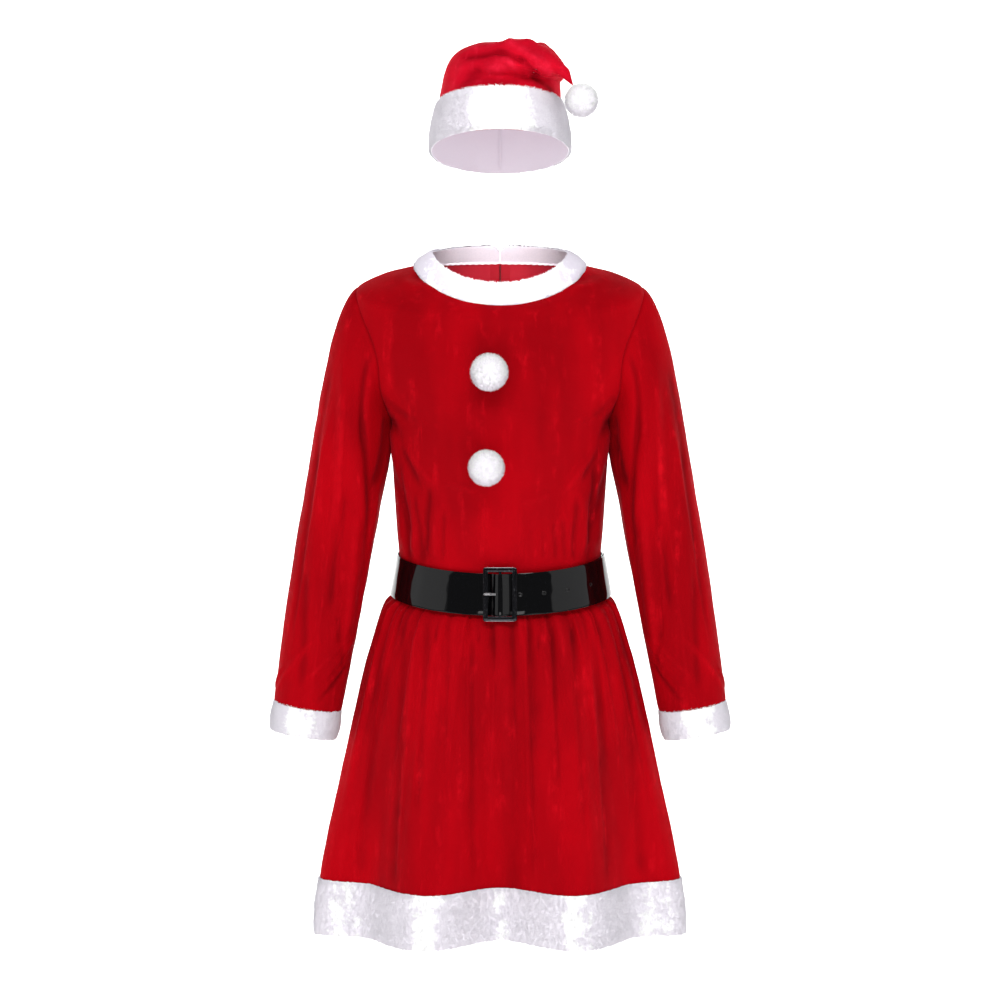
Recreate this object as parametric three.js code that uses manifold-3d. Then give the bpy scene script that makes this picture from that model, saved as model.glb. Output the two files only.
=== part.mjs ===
// A long-sleeved velvet Christmas dress with white plush trim, its patent belt and its hat, at full size.
// Millimetres, +Z up. The front faces -Y, and the origin lies between the shoulders, at the base of the neck.
import * as THREE from 'three';
import Module from 'manifold-3d';

// Cloth and trim
const SEAM_GAP = 0.3;
const WAIST_GAP = 0.8;
const VELVET = 2;
const PLUSH_INSIDE = 1.4;
const COLLAR_INSIDE = 1.6;
const COLLAR_PILE = 4.4;
const CUFF_PILE = 4.6;
const HEM_PILE = 3.4;
const HAT_PILE = 5.6;
// A plush band keeps this share of its pile at its edges, and its section is rounded by a power
const PLUSH_EDGE = 0.4;
const PLUSH_ROUNDING = 0.6;

// Heights of the main seams at the side of the body
const UNDERARM_Z = -190;
const SHOULDER_Z = -25;
const WAIST_Z = -392;
const HEM_SEAM_Z = -765;
const HEM_WIDTH = 68;

// How finely each piece is divided
const FRONT_COLUMNS = 20;
const BACK_COLUMNS = 10;
const ARMHOLE_STEPS = 8;
const GATHERS_EACH_SIDE = 18;
const HAT_COLUMNS = 20;

// Sections of the bodice from the waist seam to the neckline: the height at the side, the half width,
// the reach forwards and backwards, and how far the section dips at the centre front and centre back
const BODICE_SECTIONS = [
  { z: -392, half: 129.0, front: 95, back: 82, dipFront: 18, dipBack: -16 },
  { z: -376, half: 125.8, front: 93, back: 80, dipFront: 17, dipBack: -15 },
  { z: -358, half: 126.1, front: 94, back: 80.5, dipFront: 16, dipBack: -14 },
  { z: -325, half: 128.8, front: 101, back: 84, dipFront: 13, dipBack: -10 },
  { z: -285, half: 131.5, front: 109, back: 90, dipFront: 9, dipBack: -7 },
  { z: -240, half: 134.5, front: 116, back: 96, dipFront: 5, dipBack: -4 },
  { z: -212, half: 136.0, front: 117, back: 98, dipFront: 3, dipBack: -2 },
  { z: -190, half: 137.0, front: 116, back: 99, dipFront: 4, dipBack: 0 },
  { z: -150, half: 163.0, front: 111, back: 98, dipFront: 8, dipBack: 4 },
  { z: -110, half: 176.0, front: 105, back: 96, dipFront: 18, dipBack: 10 },
  { z: -70, half: 182.0, front: 98, back: 90, dipFront: 30, dipBack: 15 },
  { z: -42, half: 182.0, front: 93, back: 84, dipFront: 39, dipBack: 17 },
  { z: -25, half: 176.0, front: 89, back: 79, dipFront: 44, dipBack: 17 },
  { z: -8, half: 141.0, front: 82, back: 71, dipFront: 49, dipBack: 8 },
  { z: 0, half: 107.0, front: 75, back: 62, dipFront: 52, dipBack: -6 },
];
const BODICE_LEVELS = [-392, -376, -358, -325, -285, -240, -212, -190];
const YOKE_LEVELS = [-25, -8, 0];
const ARMHOLE_CUT = 31;
const ARMHOLE_ROUNDING = 0.6;
const DIP_ROUNDING = 1.25;

// Soft folds of the bodice, as ridges along a line from one (x, z) to another, on both halves. A ridge fades
// over this share of its length past its ends, and a panel's folds die out over this share beside a seam.
const RIDGE_FADE = 0.2;
const SEAM_FADE = 0.12;
const FRONT_FOLDS = [
  { x0: 139, z0: -205, x1: 92, z1: -262, width: 8, height: 2.6 },
  { x0: 136, z0: -232, x1: 88, z1: -312, width: 9, height: 2.4 },
  { x0: 146, z0: -165, x1: 100, z1: -190, width: 8, height: 2 },
  { x0: 106, z0: -345, x1: 98, z1: -290, width: 6, height: 2.6 },
  { x0: 84, z0: -352, x1: 76, z1: -300, width: 6, height: 2.2 },
  { x0: 122, z0: -336, x1: 121, z1: -292, width: 5, height: 2 },
  { x0: 126, z0: -16, x1: 108, z1: -30, width: 5, height: 1.6 },
];
const BACK_FOLDS = [
  { x0: 138, z0: -210, x1: 84, z1: -250, width: 9, height: 2.4 },
  { x0: 134, z0: -250, x1: 80, z1: -322, width: 9, height: 2.2 },
  { x0: 100, z0: -326, x1: 92, z1: -276, width: 6, height: 2.4 },
  { x0: 62, z0: -322, x1: 54, z1: -270, width: 6, height: 2.2 },
];

// Sections of the skirt, by the distance below the waist seam
const SKIRT_SECTIONS = [
  { drop: 0, half: 128.2, front: 94.5, back: 81.5, gather: 1.3, flute: 0 },
  { drop: 17, half: 131.6, front: 97.5, back: 85, gather: 1.5, flute: 0 },
  { drop: 27, half: 142, front: 106, back: 95, gather: 2.6, flute: 0.02 },
  { drop: 42, half: 149.5, front: 111, back: 101, gather: 3.4, flute: 0.04 },
  { drop: 66, half: 157.5, front: 114, back: 106, gather: 3.6, flute: 0.07 },
  { drop: 100, half: 167.5, front: 115, back: 111, gather: 3.2, flute: 0.13 },
  { drop: 145, half: 178, front: 114, back: 115, gather: 2.6, flute: 0.24 },
  { drop: 200, half: 190, front: 111, back: 118, gather: 2, flute: 0.42 },
  { drop: 260, half: 203, front: 107, back: 121, gather: 1.5, flute: 0.63 },
  { drop: 315, half: 215, front: 103, back: 123, gather: 1.1, flute: 0.82 },
  { drop: 373, half: 225, front: 100, back: 125, gather: 0.7, flute: 1 },
  { drop: 441, half: 231, front: 98, back: 127, gather: 0, flute: 1.12 },
];

// Gathers: their height and length below the waist, and waves that make these and their places uneven
const GATHER = { strength: 0.75, length: 150, start: 60, rest: 0.2 };
const GATHER_WANDER = [{ size: 0.28, rate: 2.3, shift: 0.7 }, { size: 0.14, rate: 5.1, shift: 0 }];
const GATHER_STRENGTH = [{ size: 0.35, rate: 1.9, shift: 0.4 }];
const GATHER_LENGTH = [{ size: 110, rate: 3.7, shift: 1.1 }];

// The flutes that the skirt falls into at its hem, by the angle from the centre front
const FLUTES = [
  { angle: 0, reach: -22 },
  { angle: 22, reach: 35 },
  { angle: 50, reach: -13 },
  { angle: 77, reach: 4 },
  { angle: 103, reach: -9 },
  { angle: 130, reach: 15 },
  { angle: 156, reach: -12 },
  { angle: 180, reach: 9 },
];

// Sleeve: sections along its axis, from the biceps to the wrist
const SLEEVE_SECTIONS = [
  { z: -254, x: 190.6, y: -2, half: 48, depth: 60 },
  { z: -294, x: 196.9, y: -5, half: 48, depth: 57 },
  { z: -344, x: 205.6, y: -9, half: 48, depth: 53 },
  { z: -394, x: 214.2, y: -13, half: 47, depth: 49 },
  { z: -444, x: 222.4, y: -17, half: 46, depth: 46 },
  { z: -494, x: 230.4, y: -21, half: 44.4, depth: 42 },
  { z: -547, x: 239, y: -25, half: 42.6, depth: 39 },
  { z: -581, x: 244.5, y: -28, half: 42, depth: 38.5 },
];
const SLEEVE_LEVELS = [-254, -286, -318, -350, -382, -414, -446, -478, -508, -530, -547];
const SLEEVE_CAP_STEPS = 7;
// The cap leaves the armhole sideways by a lead that grows towards the shoulder, and falls by a share of it
const CAP_LEAD = { underarm: 8, shoulder: 20, fall: 0.48 };
const CAP_CROWDING = 1.15;
const SLEEVE_TILT = THREE.MathUtils.degToRad(9.4);
const CUFF_LEVELS = [-547, -558, -570, -581];
const CUFF_INSET = 2.6;

// Creases of the sleeve, by the turn from its inner side over the front to the outer side and the height,
// with their width in degrees
const SLEEVE_FOLDS = [
  { turn0: 118, z0: -150, turn1: 52, z1: -300, width: 10.4, height: 3.2 },
  { turn0: 64, z0: -250, turn1: 40, z1: -420, width: 9.2, height: 2.8 },
  { turn0: 128, z0: -230, turn1: 112, z1: -390, width: 10.4, height: 2.4 },
  { turn0: 30, z0: -470, turn1: 92, z1: -530, width: 8, height: 2.8 },
  { turn0: 150, z0: -500, turn1: 172, z1: -520, width: 7, height: 2.2 },
  { turn0: 250, z0: -180, turn1: 310, z1: -300, width: 10.4, height: 2.8 },
  { turn0: 300, z0: -330, turn1: 250, z1: -440, width: 10.4, height: 2.4 },
];

// Collar band: its upper edge beside the neckline
const COLLAR_TOP = { half: 84, front: 56, back: 43, z: 17, dipFront: 41, dipBack: -10 };
const COLLAR_ROWS = 3;
const COLLAR_NOTCH_LOW = 0.6;
const COLLAR_NOTCH_HIGH = 6;

// Belt
const BELT_WIDTH = 50;
const STRAP = 2;
const BELT_RING = { half: 133.2, front: 103, back: 90, z: -384, dipFront: 18, dipBack: -16 };
const BELT_FLARE = 8.6;
const BELT_STEPS = 44;
const TAIL_STEPS = 14;
const BUCKLE = { wide: 41, tall: 65, bar: 5.8, thick: 3.5, corner: 2.5, bevel: 0.6, stand: 2.9 };
const CENTRE_BAR = { wide: 4, thick: 2 };
const BULGE_REACH = 13.5;
const BULGE_END = 14;
const BULGE_STEP = 2;
const BULGE_CLEARANCE = 0.8;
// The strap's fixed end lies under the centre bar, and it meets the waist a little further round
const STRAP_START = { end: -0.012, raised: 0.03, level: 0.085, next: 0.16 };
const TAIL_TAPER = 0.5;
const HOLE_PITCH = 28.5;
const HOLE_SIDES = 10;
const PUNCH_PAST = 0.2;
const HOLE_RADIUS = 2.4;
const HOLE_MARGIN = 0.5;
const PRONG_HOLE = { x: -5.4, long: 6.2, deep: 8, out: 4.3 };
const PRONG = { tall: 3, thick: 1.7, root: -2.35, rise: -13, tip: -20.2, point: 0.8, low: 0.15, high: 0.9 };
const TAIL_TURN = THREE.MathUtils.degToRad(104);

// Pompoms: diameter over the tufts, the places of the two on the chest, and the one on the hat
const CHEST_POMPOMS = [
  { name: 'pompom_upper', x: -12.6, z: -130, diameter: 49 },
  { name: 'pompom_lower', x: -16.2, z: -248, diameter: 47 },
];
const HAT_POMPOM = { name: 'hat_pompom', x: 98.6, y: -78, z: 195.5, diameter: 44.5 };
const TUFT_ROOT = 0.8;
const TUFT_TIP = 0.46;
const TUFT_LEAN = 0.05;
const TUFT_UNEVEN = 0.035;

// Zip at the centre back
const ZIP_TAPE_WIDTH = 25;
const ZIP_TAPE = 1;
const SLIDER = { wide: 7, long: 10, thick: 2, level: 0.5 };
const BRIDGE = { wide: 1.8, long: 7, high: 3.7, wall: 1.1, sunk: 0.4, chamfer: 1 };
const PULL = { wide: 6, thick: 1.2, ring: 7, long: 24, rim: 1.1 };

// Hat: the lower and upper edges of its band
const HAT_RIM = { half: 86, depth: 102, z: 141, tilt: 18 };
const HAT_TOP = { half: 76.5, depth: 89, z: 199, tilt: 13 };
const HAT_BAND_COLUMNS = 32;
const HAT_BAND_ROWS = 4;

// The crown folds over a level line that lies this far out, towards the right of the front. A section has
// its turn about the line, its nearest and farthest reach, half its width and its shift along the line.
const FOLD_TURN = THREE.MathUtils.degToRad(-42);
const FOLD_REACH = 88;
const FOLD_Z = 224;
const CROWN_SECTIONS = [
  { turn: 0, near: 14, far: 159, across: 74, slide: 0 },
  { turn: 10, near: 11, far: 150, across: 73, slide: 0 },
  { turn: 19, near: 8, far: 134, across: 69, slide: 0 },
  { turn: 30, near: 5, far: 101, across: 60, slide: -2 },
  { turn: 43, near: 3, far: 71, across: 46, slide: -9 },
  { turn: 60, near: 3, far: 53, across: 35, slide: -14 },
  { turn: 80, near: 3, far: 42, across: 28, slide: -16 },
  { turn: 102, near: 3, far: 34, across: 23, slide: -17 },
  { turn: 126, near: 4, far: 30, across: 18, slide: -16 },
  { turn: 150, near: 7, far: 28, across: 13, slide: -13 },
  { turn: 166, near: 13, far: 29, across: 9, slide: -7 },
];
const CROWN_TIP = { x: 89.2, y: -75.1, z: 212.7, thick: 2.8 };
const FOLD_SHOW = 0.2;

// Folds of the crown, by the distance across it (x) and the turn about the fold line (z)
const CROWN_FOLDS = [
  { x0: -72, z0: 8, x1: -18, z1: 66, width: 9, height: 5 },
  { x0: 64, z0: 6, x1: 22, z1: 60, width: 9, height: 4.5 },
  { x0: 4, z0: 26, x1: 2, z1: 76, width: 8, height: -4 },
];

const vector = (x, y, z) => new THREE.Vector3(x, y, z);
const degrees = THREE.MathUtils.degToRad;

// The row of a table at a value of its first column, smooth from row to row
function rowAt(table, key, value) {
  const rising = table[table.length - 1][key] > table[0][key];
  const rows = rising ? table : [...table].reverse();
  const last = rows.length - 1;
  const at = Math.min(Math.max(value, rows[0][key]), rows[last][key]);
  let i = 0;
  while (i < last - 1 && rows[i + 1][key] < at) i += 1;
  const [a, b] = [rows[i], rows[i + 1]];
  const span = b[key] - a[key];
  const t = (at - a[key]) / span;
  const slope = (column, k) => {
    const p = rows[Math.max(k - 1, 0)];
    const q = rows[Math.min(k + 1, last)];
    return (q[column] - p[column]) / (q[key] - p[key]);
  };
  const row = {};
  for (const column of Object.keys(a)) {
    const rise = b[column] - a[column];
    const start = slope(column, i) * span;
    const end = slope(column, i + 1) * span;
    row[column] = a[column] + start * t + (3 * rise - 2 * start - end) * t ** 2
      + (start + end - 2 * rise) * t ** 3;
  }
  return row;
}

// A point on a level section: an oval with its own reach to the front and back, dipped at its centres
function sectionPoint(row, angle, z) {
  const c = Math.cos(angle);
  const reach = c > 0 ? row.front : row.back;
  const dip = c > 0 ? row.dipFront : row.dipBack;
  return vector(row.half * Math.sin(angle), -reach * c, z - dip * Math.abs(c) ** DIP_ROUNDING);
}

// A soft ridge along a line: full along its length, rounded across it and faded past its ends
function ridge(along, across, fold) {
  const past = Math.max(0, -along, along - 1);
  return fold.height * Math.exp(-((across / fold.width) ** 2)) * Math.exp(-((past / RIDGE_FADE) ** 2));
}

function lineFolds(folds, x, z) {
  let sum = 0;
  for (const fold of folds) {
    const dx = fold.x1 - fold.x0;
    const dz = fold.z1 - fold.z0;
    const length = Math.hypot(dx, dz);
    const along = ((x - fold.x0) * dx + (z - fold.z0) * dz) / length ** 2;
    const across = ((x - fold.x0) * dz - (z - fold.z0) * dx) / length;
    sum += ridge(along, across, fold);
  }
  return sum;
}

// The outward normals of a grid of points, from its neighbouring rows and columns
function normalsOf(points, ring) {
  const rows = points.length;
  const columns = points[0].length;
  const centre = vector(0, 0, 0);
  for (const p of points.flat()) centre.addScaledVector(p, 1 / (rows * columns));
  const pick = (i, j) => points[i][ring ? (j + columns) % columns : Math.min(Math.max(j, 0), columns - 1)];
  let flux = 0;
  const normals = points.map((line, i) => line.map((p, j) => {
    const down = points[Math.min(i + 1, rows - 1)][j].clone().sub(points[Math.max(i - 1, 0)][j]);
    const along = pick(i, j + 1).clone().sub(pick(i, j - 1));
    const normal = along.cross(down).normalize();
    flux += normal.dot(p.clone().sub(centre));
    return normal;
  }));
  if (flux < 0) normals.flat().forEach((n) => n.negate());
  return normals;
}

// The grid moved along its normals, by one distance or by a distance for each row
function moved(points, normals, distance) {
  return points.map((line, i) => line.map((p, j) => {
    const by = typeof distance === 'function' ? distance(i, j) : distance;
    return p.clone().addScaledVector(normals[i][j], by);
  }));
}

function closedGeometry(points, faces) {
  let volume = 0;
  for (const [a, b, c] of faces) volume += points[a].dot(points[b].clone().cross(points[c]));
  const index = volume < 0 ? faces.map(([a, b, c]) => [a, c, b]) : faces;
  const geometry = new THREE.BufferGeometry();
  geometry.setAttribute('position', new THREE.Float32BufferAttribute(points.flatMap((p) => p.toArray()), 3));
  geometry.setIndex(index.flat());
  return geometry;
}

// A cloth wall between an outer and an inner grid. A ring closes on itself, and tips close its last row.
function wall(outer, inner, { ring = false, tips = null } = {}) {
  const rows = outer.length;
  const columns = outer[0].length;
  const points = [...outer.flat(), ...inner.flat()];
  const skin = rows * columns;
  const at = (side, i, j) => side * skin + i * columns + (j % columns);
  const faces = [];
  const quad = (a, b, c, d) => faces.push([a, b, c], [a, c, d]);
  const cells = ring ? columns : columns - 1;
  // Both skins of a cell are cut along the same diagonal, the shorter one of the outer skin
  const skinCell = (i, j) => {
    const corners = [[i, j], [i, j + 1], [i + 1, j + 1], [i + 1, j]];
    const [a, b, c, d] = corners.map(([k, l]) => [at(0, k, l), at(1, k, l)]);
    const turned = points[a[0]].distanceTo(points[c[0]]) > points[b[0]].distanceTo(points[d[0]]);
    const [p, q, r, s] = turned ? [b, c, d, a] : [a, b, c, d];
    quad(p[0], q[0], r[0], s[0]);
    quad(p[1], s[1], r[1], q[1]);
  };
  for (let i = 0; i < rows - 1; i += 1) {
    for (let j = 0; j < cells; j += 1) skinCell(i, j);
    if (!ring) {
      quad(at(0, i, 0), at(0, i + 1, 0), at(1, i + 1, 0), at(1, i, 0));
      quad(at(0, i + 1, cells), at(0, i, cells), at(1, i, cells), at(1, i + 1, cells));
    }
  }
  for (let j = 0; j < cells; j += 1) {
    quad(at(0, 0, j + 1), at(0, 0, j), at(1, 0, j), at(1, 0, j + 1));
    if (tips) {
      faces.push([at(0, rows - 1, j), at(0, rows - 1, j + 1), 2 * skin]);
      faces.push([at(1, rows - 1, j + 1), at(1, rows - 1, j), 2 * skin + 1]);
    } else {
      quad(at(0, rows - 1, j), at(0, rows - 1, j + 1), at(1, rows - 1, j + 1), at(1, rows - 1, j));
    }
  }
  return closedGeometry(tips ? [...points, ...tips] : points, faces);
}

// Gives two panels the same normals along the seam where they meet, in the given rows
function shareSeam(normals, column, otherNormals, otherColumn, rows = normals.keys()) {
  for (const i of rows) {
    const mean = normals[i][column].clone().add(otherNormals[i][otherColumn]).normalize();
    normals[i][column] = mean;
    otherNormals[i][otherColumn] = mean.clone();
  }
}

// A plush band over a base grid: it stands proud by its pile, less so at its two edges
function plushBand(base, normals, pile, { ring = false, inside = PLUSH_INSIDE } = {}) {
  const rows = base.length - 1;
  const rounding = (i) => PLUSH_EDGE + (1 - PLUSH_EDGE) * Math.sin((Math.PI * i) / rows) ** PLUSH_ROUNDING;
  const outer = moved(base, normals, (i) => pile * rounding(i));
  const inner = moved(base, normals, -inside);
  return wall(outer, inner, { ring });
}

const group = new THREE.Group();
function add(name, geometry, colour, roughness, metalness = 0) {
  const material = new THREE.MeshStandardMaterial({ color: colour, roughness, metalness });
  const mesh = new THREE.Mesh(geometry, material);
  mesh.name = name;
  group.add(mesh);
}
const addVelvet = (name, geometry) => add(name, geometry, 0xb0000f, 0.85);
const addPlush = (name, geometry) => add(name, geometry, 0xf2eff3, 0.95);
const addPatent = (name, geometry) => add(name, geometry, 0x0b0b0c, 0.12);
const addMetal = (name, geometry) => add(name, geometry, 0x2a2a2d, 0.25, 0.9);

// Bodice: its rows run from the waist seam up to the neckline, the armhole's between the two
const armholeLevels = Array.from({ length: ARMHOLE_STEPS - 1 }, (_, k) =>
  UNDERARM_Z + ((SHOULDER_Z - UNDERARM_Z) * (k + 1)) / ARMHOLE_STEPS);
const bodiceRows = [...BODICE_LEVELS, ...armholeLevels, ...YOKE_LEVELS];
const underarmRow = BODICE_LEVELS.length - 1;
const shoulderRow = underarmRow + ARMHOLE_STEPS;

function armholeAngle(z) {
  const share = THREE.MathUtils.clamp((z - UNDERARM_Z) / (SHOULDER_Z - UNDERARM_Z), 0, 1);
  return degrees(90 - ARMHOLE_CUT * Math.sin(Math.PI * share) ** ARMHOLE_ROUNDING);
}

// A panel from one side to the other, as shares of the way from the centre to the side edge
function bodicePanel(from, to, columns, back) {
  const base = bodiceRows.map((z, i) => {
    const row = rowAt(BODICE_SECTIONS, 'z', z);
    const trim = SEAM_GAP / 2 / row.half;
    const edge = armholeAngle(z) - trim;
    const lift = i === 0 ? WAIST_GAP / 2 : 0;
    return Array.from({ length: columns + 1 }, (_, j) => {
      const share = from + ((to - from) * j) / columns;
      const centred = Math.abs(share) < 1e-9 ? trim * Math.sign(from + to) : 0;
      const angle = share * edge + centred;
      return sectionPoint(row, back ? Math.PI - angle : angle, z).add(vector(0, 0, lift));
    });
  });
  return { base, normals: normalsOf(base, false), from, to, folds: back ? BACK_FOLDS : FRONT_FOLDS };
}

function foldPanel(panel) {
  const { base, normals, from, to, folds } = panel;
  const columns = base[0].length - 1;
  panel.outer = moved(base, normals, (i, j) =>
    lineFolds(folds, Math.abs(base[i][j].x), base[i][j].z) * edgeFade(j, columns, from, to));
  panel.inner = moved(panel.outer, normals, -VELVET);
}

// Folds die out at the seams, so that neighbouring pieces meet
function edgeFade(j, columns, from, to) {
  const share = from + ((to - from) * j) / columns;
  const toSeam = Math.min(1 - Math.abs(share), from * to < 0 ? 1 : Math.abs(share));
  return THREE.MathUtils.smoothstep(toSeam, 0, SEAM_FADE);
}

const front = bodicePanel(-1, 1, FRONT_COLUMNS, false);
const backRight = bodicePanel(1, 0, BACK_COLUMNS, true);
const backLeft = bodicePanel(0, -1, BACK_COLUMNS, true);
const joinedRows = bodiceRows.map((_, i) => i).filter((i) => i <= underarmRow || i >= shoulderRow);
shareSeam(front.normals, FRONT_COLUMNS, backRight.normals, 0, joinedRows);
shareSeam(front.normals, 0, backLeft.normals, BACK_COLUMNS, joinedRows);
shareSeam(backRight.normals, BACK_COLUMNS, backLeft.normals, 0);
for (const panel of [front, backRight, backLeft]) foldPanel(panel);
addVelvet('bodice_front', wall(front.outer, front.inner));
addVelvet('bodice_back_right', wall(backRight.outer, backRight.inner));
addVelvet('bodice_back_left', wall(backLeft.outer, backLeft.inner));

// Sleeves: the first ring follows the armhole edges of the front and the back, a seam's gap away
function armholeRing(side, skin) {
  const [frontEdge, frontNext] = side > 0 ? [FRONT_COLUMNS, FRONT_COLUMNS - 1] : [0, 1];
  const back = side > 0 ? backRight : backLeft;
  const [backEdge, backNext] = side > 0 ? [0, 1] : [BACK_COLUMNS, BACK_COLUMNS - 1];
  const step = (panel, i, edge, next) => {
    const p = panel[skin][i][edge];
    const away = p.clone().sub(panel[skin][i][next]).normalize();
    return p.clone().addScaledVector(away, SEAM_GAP);
  };
  const middle = (i, dx, dz) => {
    const a = front[skin][i][frontEdge];
    const b = back[skin][i][backEdge];
    return a.clone().add(b).multiplyScalar(0.5).add(vector(side * dx, 0, dz));
  };
  const ring = [middle(underarmRow, 0.1, SEAM_GAP)];
  for (let i = underarmRow + 1; i < shoulderRow; i += 1) ring.push(step(front, i, frontEdge, frontNext));
  ring.push(middle(shoulderRow, SEAM_GAP, 0));
  for (let i = shoulderRow - 1; i > underarmRow; i -= 1) ring.push(step(back, i, backEdge, backNext));
  return ring;
}

// A point of the hanging sleeve: the turn runs from the inner side over the front to the outer side
function sleevePoint(side, z, turn, out = 0) {
  const row = rowAt(SLEEVE_SECTIONS, 'z', z);
  const across = -(row.half + out) * Math.cos(turn);
  const x = row.x + across * Math.cos(SLEEVE_TILT);
  const y = row.y - (row.depth + out) * Math.sin(turn);
  return vector(side * x, y, z + across * Math.sin(SLEEVE_TILT));
}

function sleeveFolds(turn, z) {
  const angle = THREE.MathUtils.radToDeg(turn);
  let sum = 0;
  for (const fold of SLEEVE_FOLDS) {
    const along = (z - fold.z0) / (fold.z1 - fold.z0);
    const bend = fold.turn0 + (fold.turn1 - fold.turn0) * THREE.MathUtils.clamp(along, -0.3, 1.3);
    sum += ridge(along, angle - bend, fold);
  }
  return sum;
}

function sleeve(side) {
  const outerStart = armholeRing(side, 'outer');
  const innerStart = armholeRing(side, 'inner');
  const count = outerStart.length;
  const turns = outerStart.map((_, k) => (2 * Math.PI * k) / count);
  const rings = [outerStart];
  const [top, ...levels] = SLEEVE_LEVELS;
  const down = vector(side * Math.sin(SLEEVE_TILT), 0, -Math.cos(SLEEVE_TILT));
  for (let s = 1; s <= SLEEVE_CAP_STEPS; s += 1) {
    const t = (s / SLEEVE_CAP_STEPS) ** CAP_CROWDING;
    rings.push(turns.map((turn, k) => {
      const start = outerStart[k];
      const end = sleevePoint(side, top, turn);
      const high = (1 - Math.cos(turn)) / 2;
      const lead = CAP_LEAD.underarm + CAP_LEAD.shoulder * high;
      const first = start.clone().add(vector(side * lead, 0, -CAP_LEAD.fall * lead * high));
      const second = end.clone().addScaledVector(down, -0.5 * (start.z - end.z));
      return new THREE.CubicBezierCurve3(start, first, second, end).getPoint(t);
    }));
  }
  for (const z of levels) rings.push(turns.map((turn) => sleevePoint(side, z, turn)));
  const normals = normalsOf(rings, true);
  const outer = moved(rings, normals, (i, j) => {
    const fade = i < 3 ? i / 3 : Math.min(1, (rings.length - 1 - i) / 2);
    return sleeveFolds(turns[j], rings[i][j].z) * fade;
  });
  const inner = moved(outer, normals, -VELVET);
  inner[0] = innerStart;
  const turned = (grid) => (side < 0 ? grid.map((ring) => [...ring].reverse()) : grid);
  return wall(turned(outer), turned(inner), { ring: true });
}

function cuff(side) {
  const base = CUFF_LEVELS.map((z, i) => Array.from({ length: 2 * ARMHOLE_STEPS }, (_, k) =>
    sleevePoint(side, z - (i === 0 ? SEAM_GAP : 0), (Math.PI * k) / ARMHOLE_STEPS, -CUFF_INSET)));
  return plushBand(base, normalsOf(base, true), CUFF_PILE, { ring: true });
}

for (const [side, hand] of [[-1, 'left'], [1, 'right']]) {
  addVelvet(`sleeve_${hand}`, sleeve(side));
  addPlush(`cuff_${hand}`, cuff(side));
}

// Skirt: gathers at the waist that fade downwards into broad flutes at the hem
function fluteReach(angle) {
  const turn = Math.abs(THREE.MathUtils.radToDeg(angle));
  let i = 0;
  while (i < FLUTES.length - 2 && FLUTES[i + 1].angle < turn) i += 1;
  const [a, b] = [FLUTES[i], FLUTES[i + 1]];
  const share = (1 - Math.cos((Math.PI * (turn - a.angle)) / (b.angle - a.angle))) / 2;
  return a.reach + (b.reach - a.reach) * share;
}

function waves(list, step) {
  return list.reduce((sum, { size, rate, shift }) => sum + size * Math.sin(step * rate + shift), 0);
}

// The angle of a gather's crest or valley: two steps for each gather, a little uneven
function gatherAngle(step) {
  const wander = waves(GATHER_WANDER, step);
  const even = step % (2 * GATHERS_EACH_SIDE) === 0;
  return ((step + (even ? 0 : wander)) * Math.PI) / (2 * GATHERS_EACH_SIDE) - Math.PI / 2;
}

function gatherHeight(step, row, drop) {
  if (step % (2 * GATHERS_EACH_SIDE) === 0) return 0;
  const strength = GATHER.strength + waves(GATHER_STRENGTH, step);
  const length = GATHER.length + waves(GATHER_LENGTH, step);
  const fade = Math.exp(-((Math.max(0, drop - GATHER.start) / length) ** 2));
  const height = row.gather * strength * (GATHER.rest + (1 - GATHER.rest) * fade);
  return step % 2 === 0 ? height : -height;
}

function waistZ(angle) {
  return sectionPoint(BODICE_SECTIONS[0], angle, WAIST_Z).z;
}

function skirtPoint(step, drop) {
  const row = rowAt(SKIRT_SECTIONS, 'drop', drop);
  const angle = gatherAngle(step);
  const c = Math.cos(angle);
  const reach = c > 0 ? row.front : row.back;
  const start = waistZ(angle);
  const full = HEM_SEAM_Z - WAIST_Z;
  const z = start + ((HEM_SEAM_Z - start) * -drop) / full;
  const normal = vector(Math.sin(angle) / row.half, -c / reach, 0).normalize();
  const out = row.flute * fluteReach(angle > Math.PI ? 2 * Math.PI - angle : angle)
    + gatherHeight(step, row, drop);
  return vector(row.half * Math.sin(angle), -reach * c, z).addScaledVector(normal, out);
}

// A panel of the skirt or its hem between the two side seams, trimmed by the seam's gap
function skirtGrid(firstStep, drops) {
  const steps = 2 * GATHERS_EACH_SIDE;
  return drops.map((drop) => Array.from({ length: steps + 1 }, (_, j) => {
    const p = skirtPoint(firstStep + j, drop);
    const away = firstStep === 0 ? -1 : 1;
    return j === 0 || j === steps ? p.add(vector(0, (away * SEAM_GAP) / 2, 0)) : p;
  }));
}

const skirtDrops = SKIRT_SECTIONS.slice(0, -1).map((row, i) => (i === 0 ? WAIST_GAP / 2 : row.drop));
const hemSeamDrop = WAIST_Z - HEM_SEAM_Z;
const hemDrops = [0, 0.33, 0.67, 1].map((share) => hemSeamDrop + SEAM_GAP + share * (HEM_WIDTH - SEAM_GAP));
const backStep = 2 * GATHERS_EACH_SIDE;

// The front and the back of the skirt, or of its hem, with the normals that their side seams share
function skirtPair(drops) {
  const grids = [skirtGrid(0, drops), skirtGrid(backStep, drops)];
  const normals = grids.map((grid) => normalsOf(grid, false));
  shareSeam(normals[0], backStep, normals[1], 0);
  shareSeam(normals[0], 0, normals[1], backStep);
  return [0, 1].map((k) => ({ base: grids[k], normals: normals[k] }));
}

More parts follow.
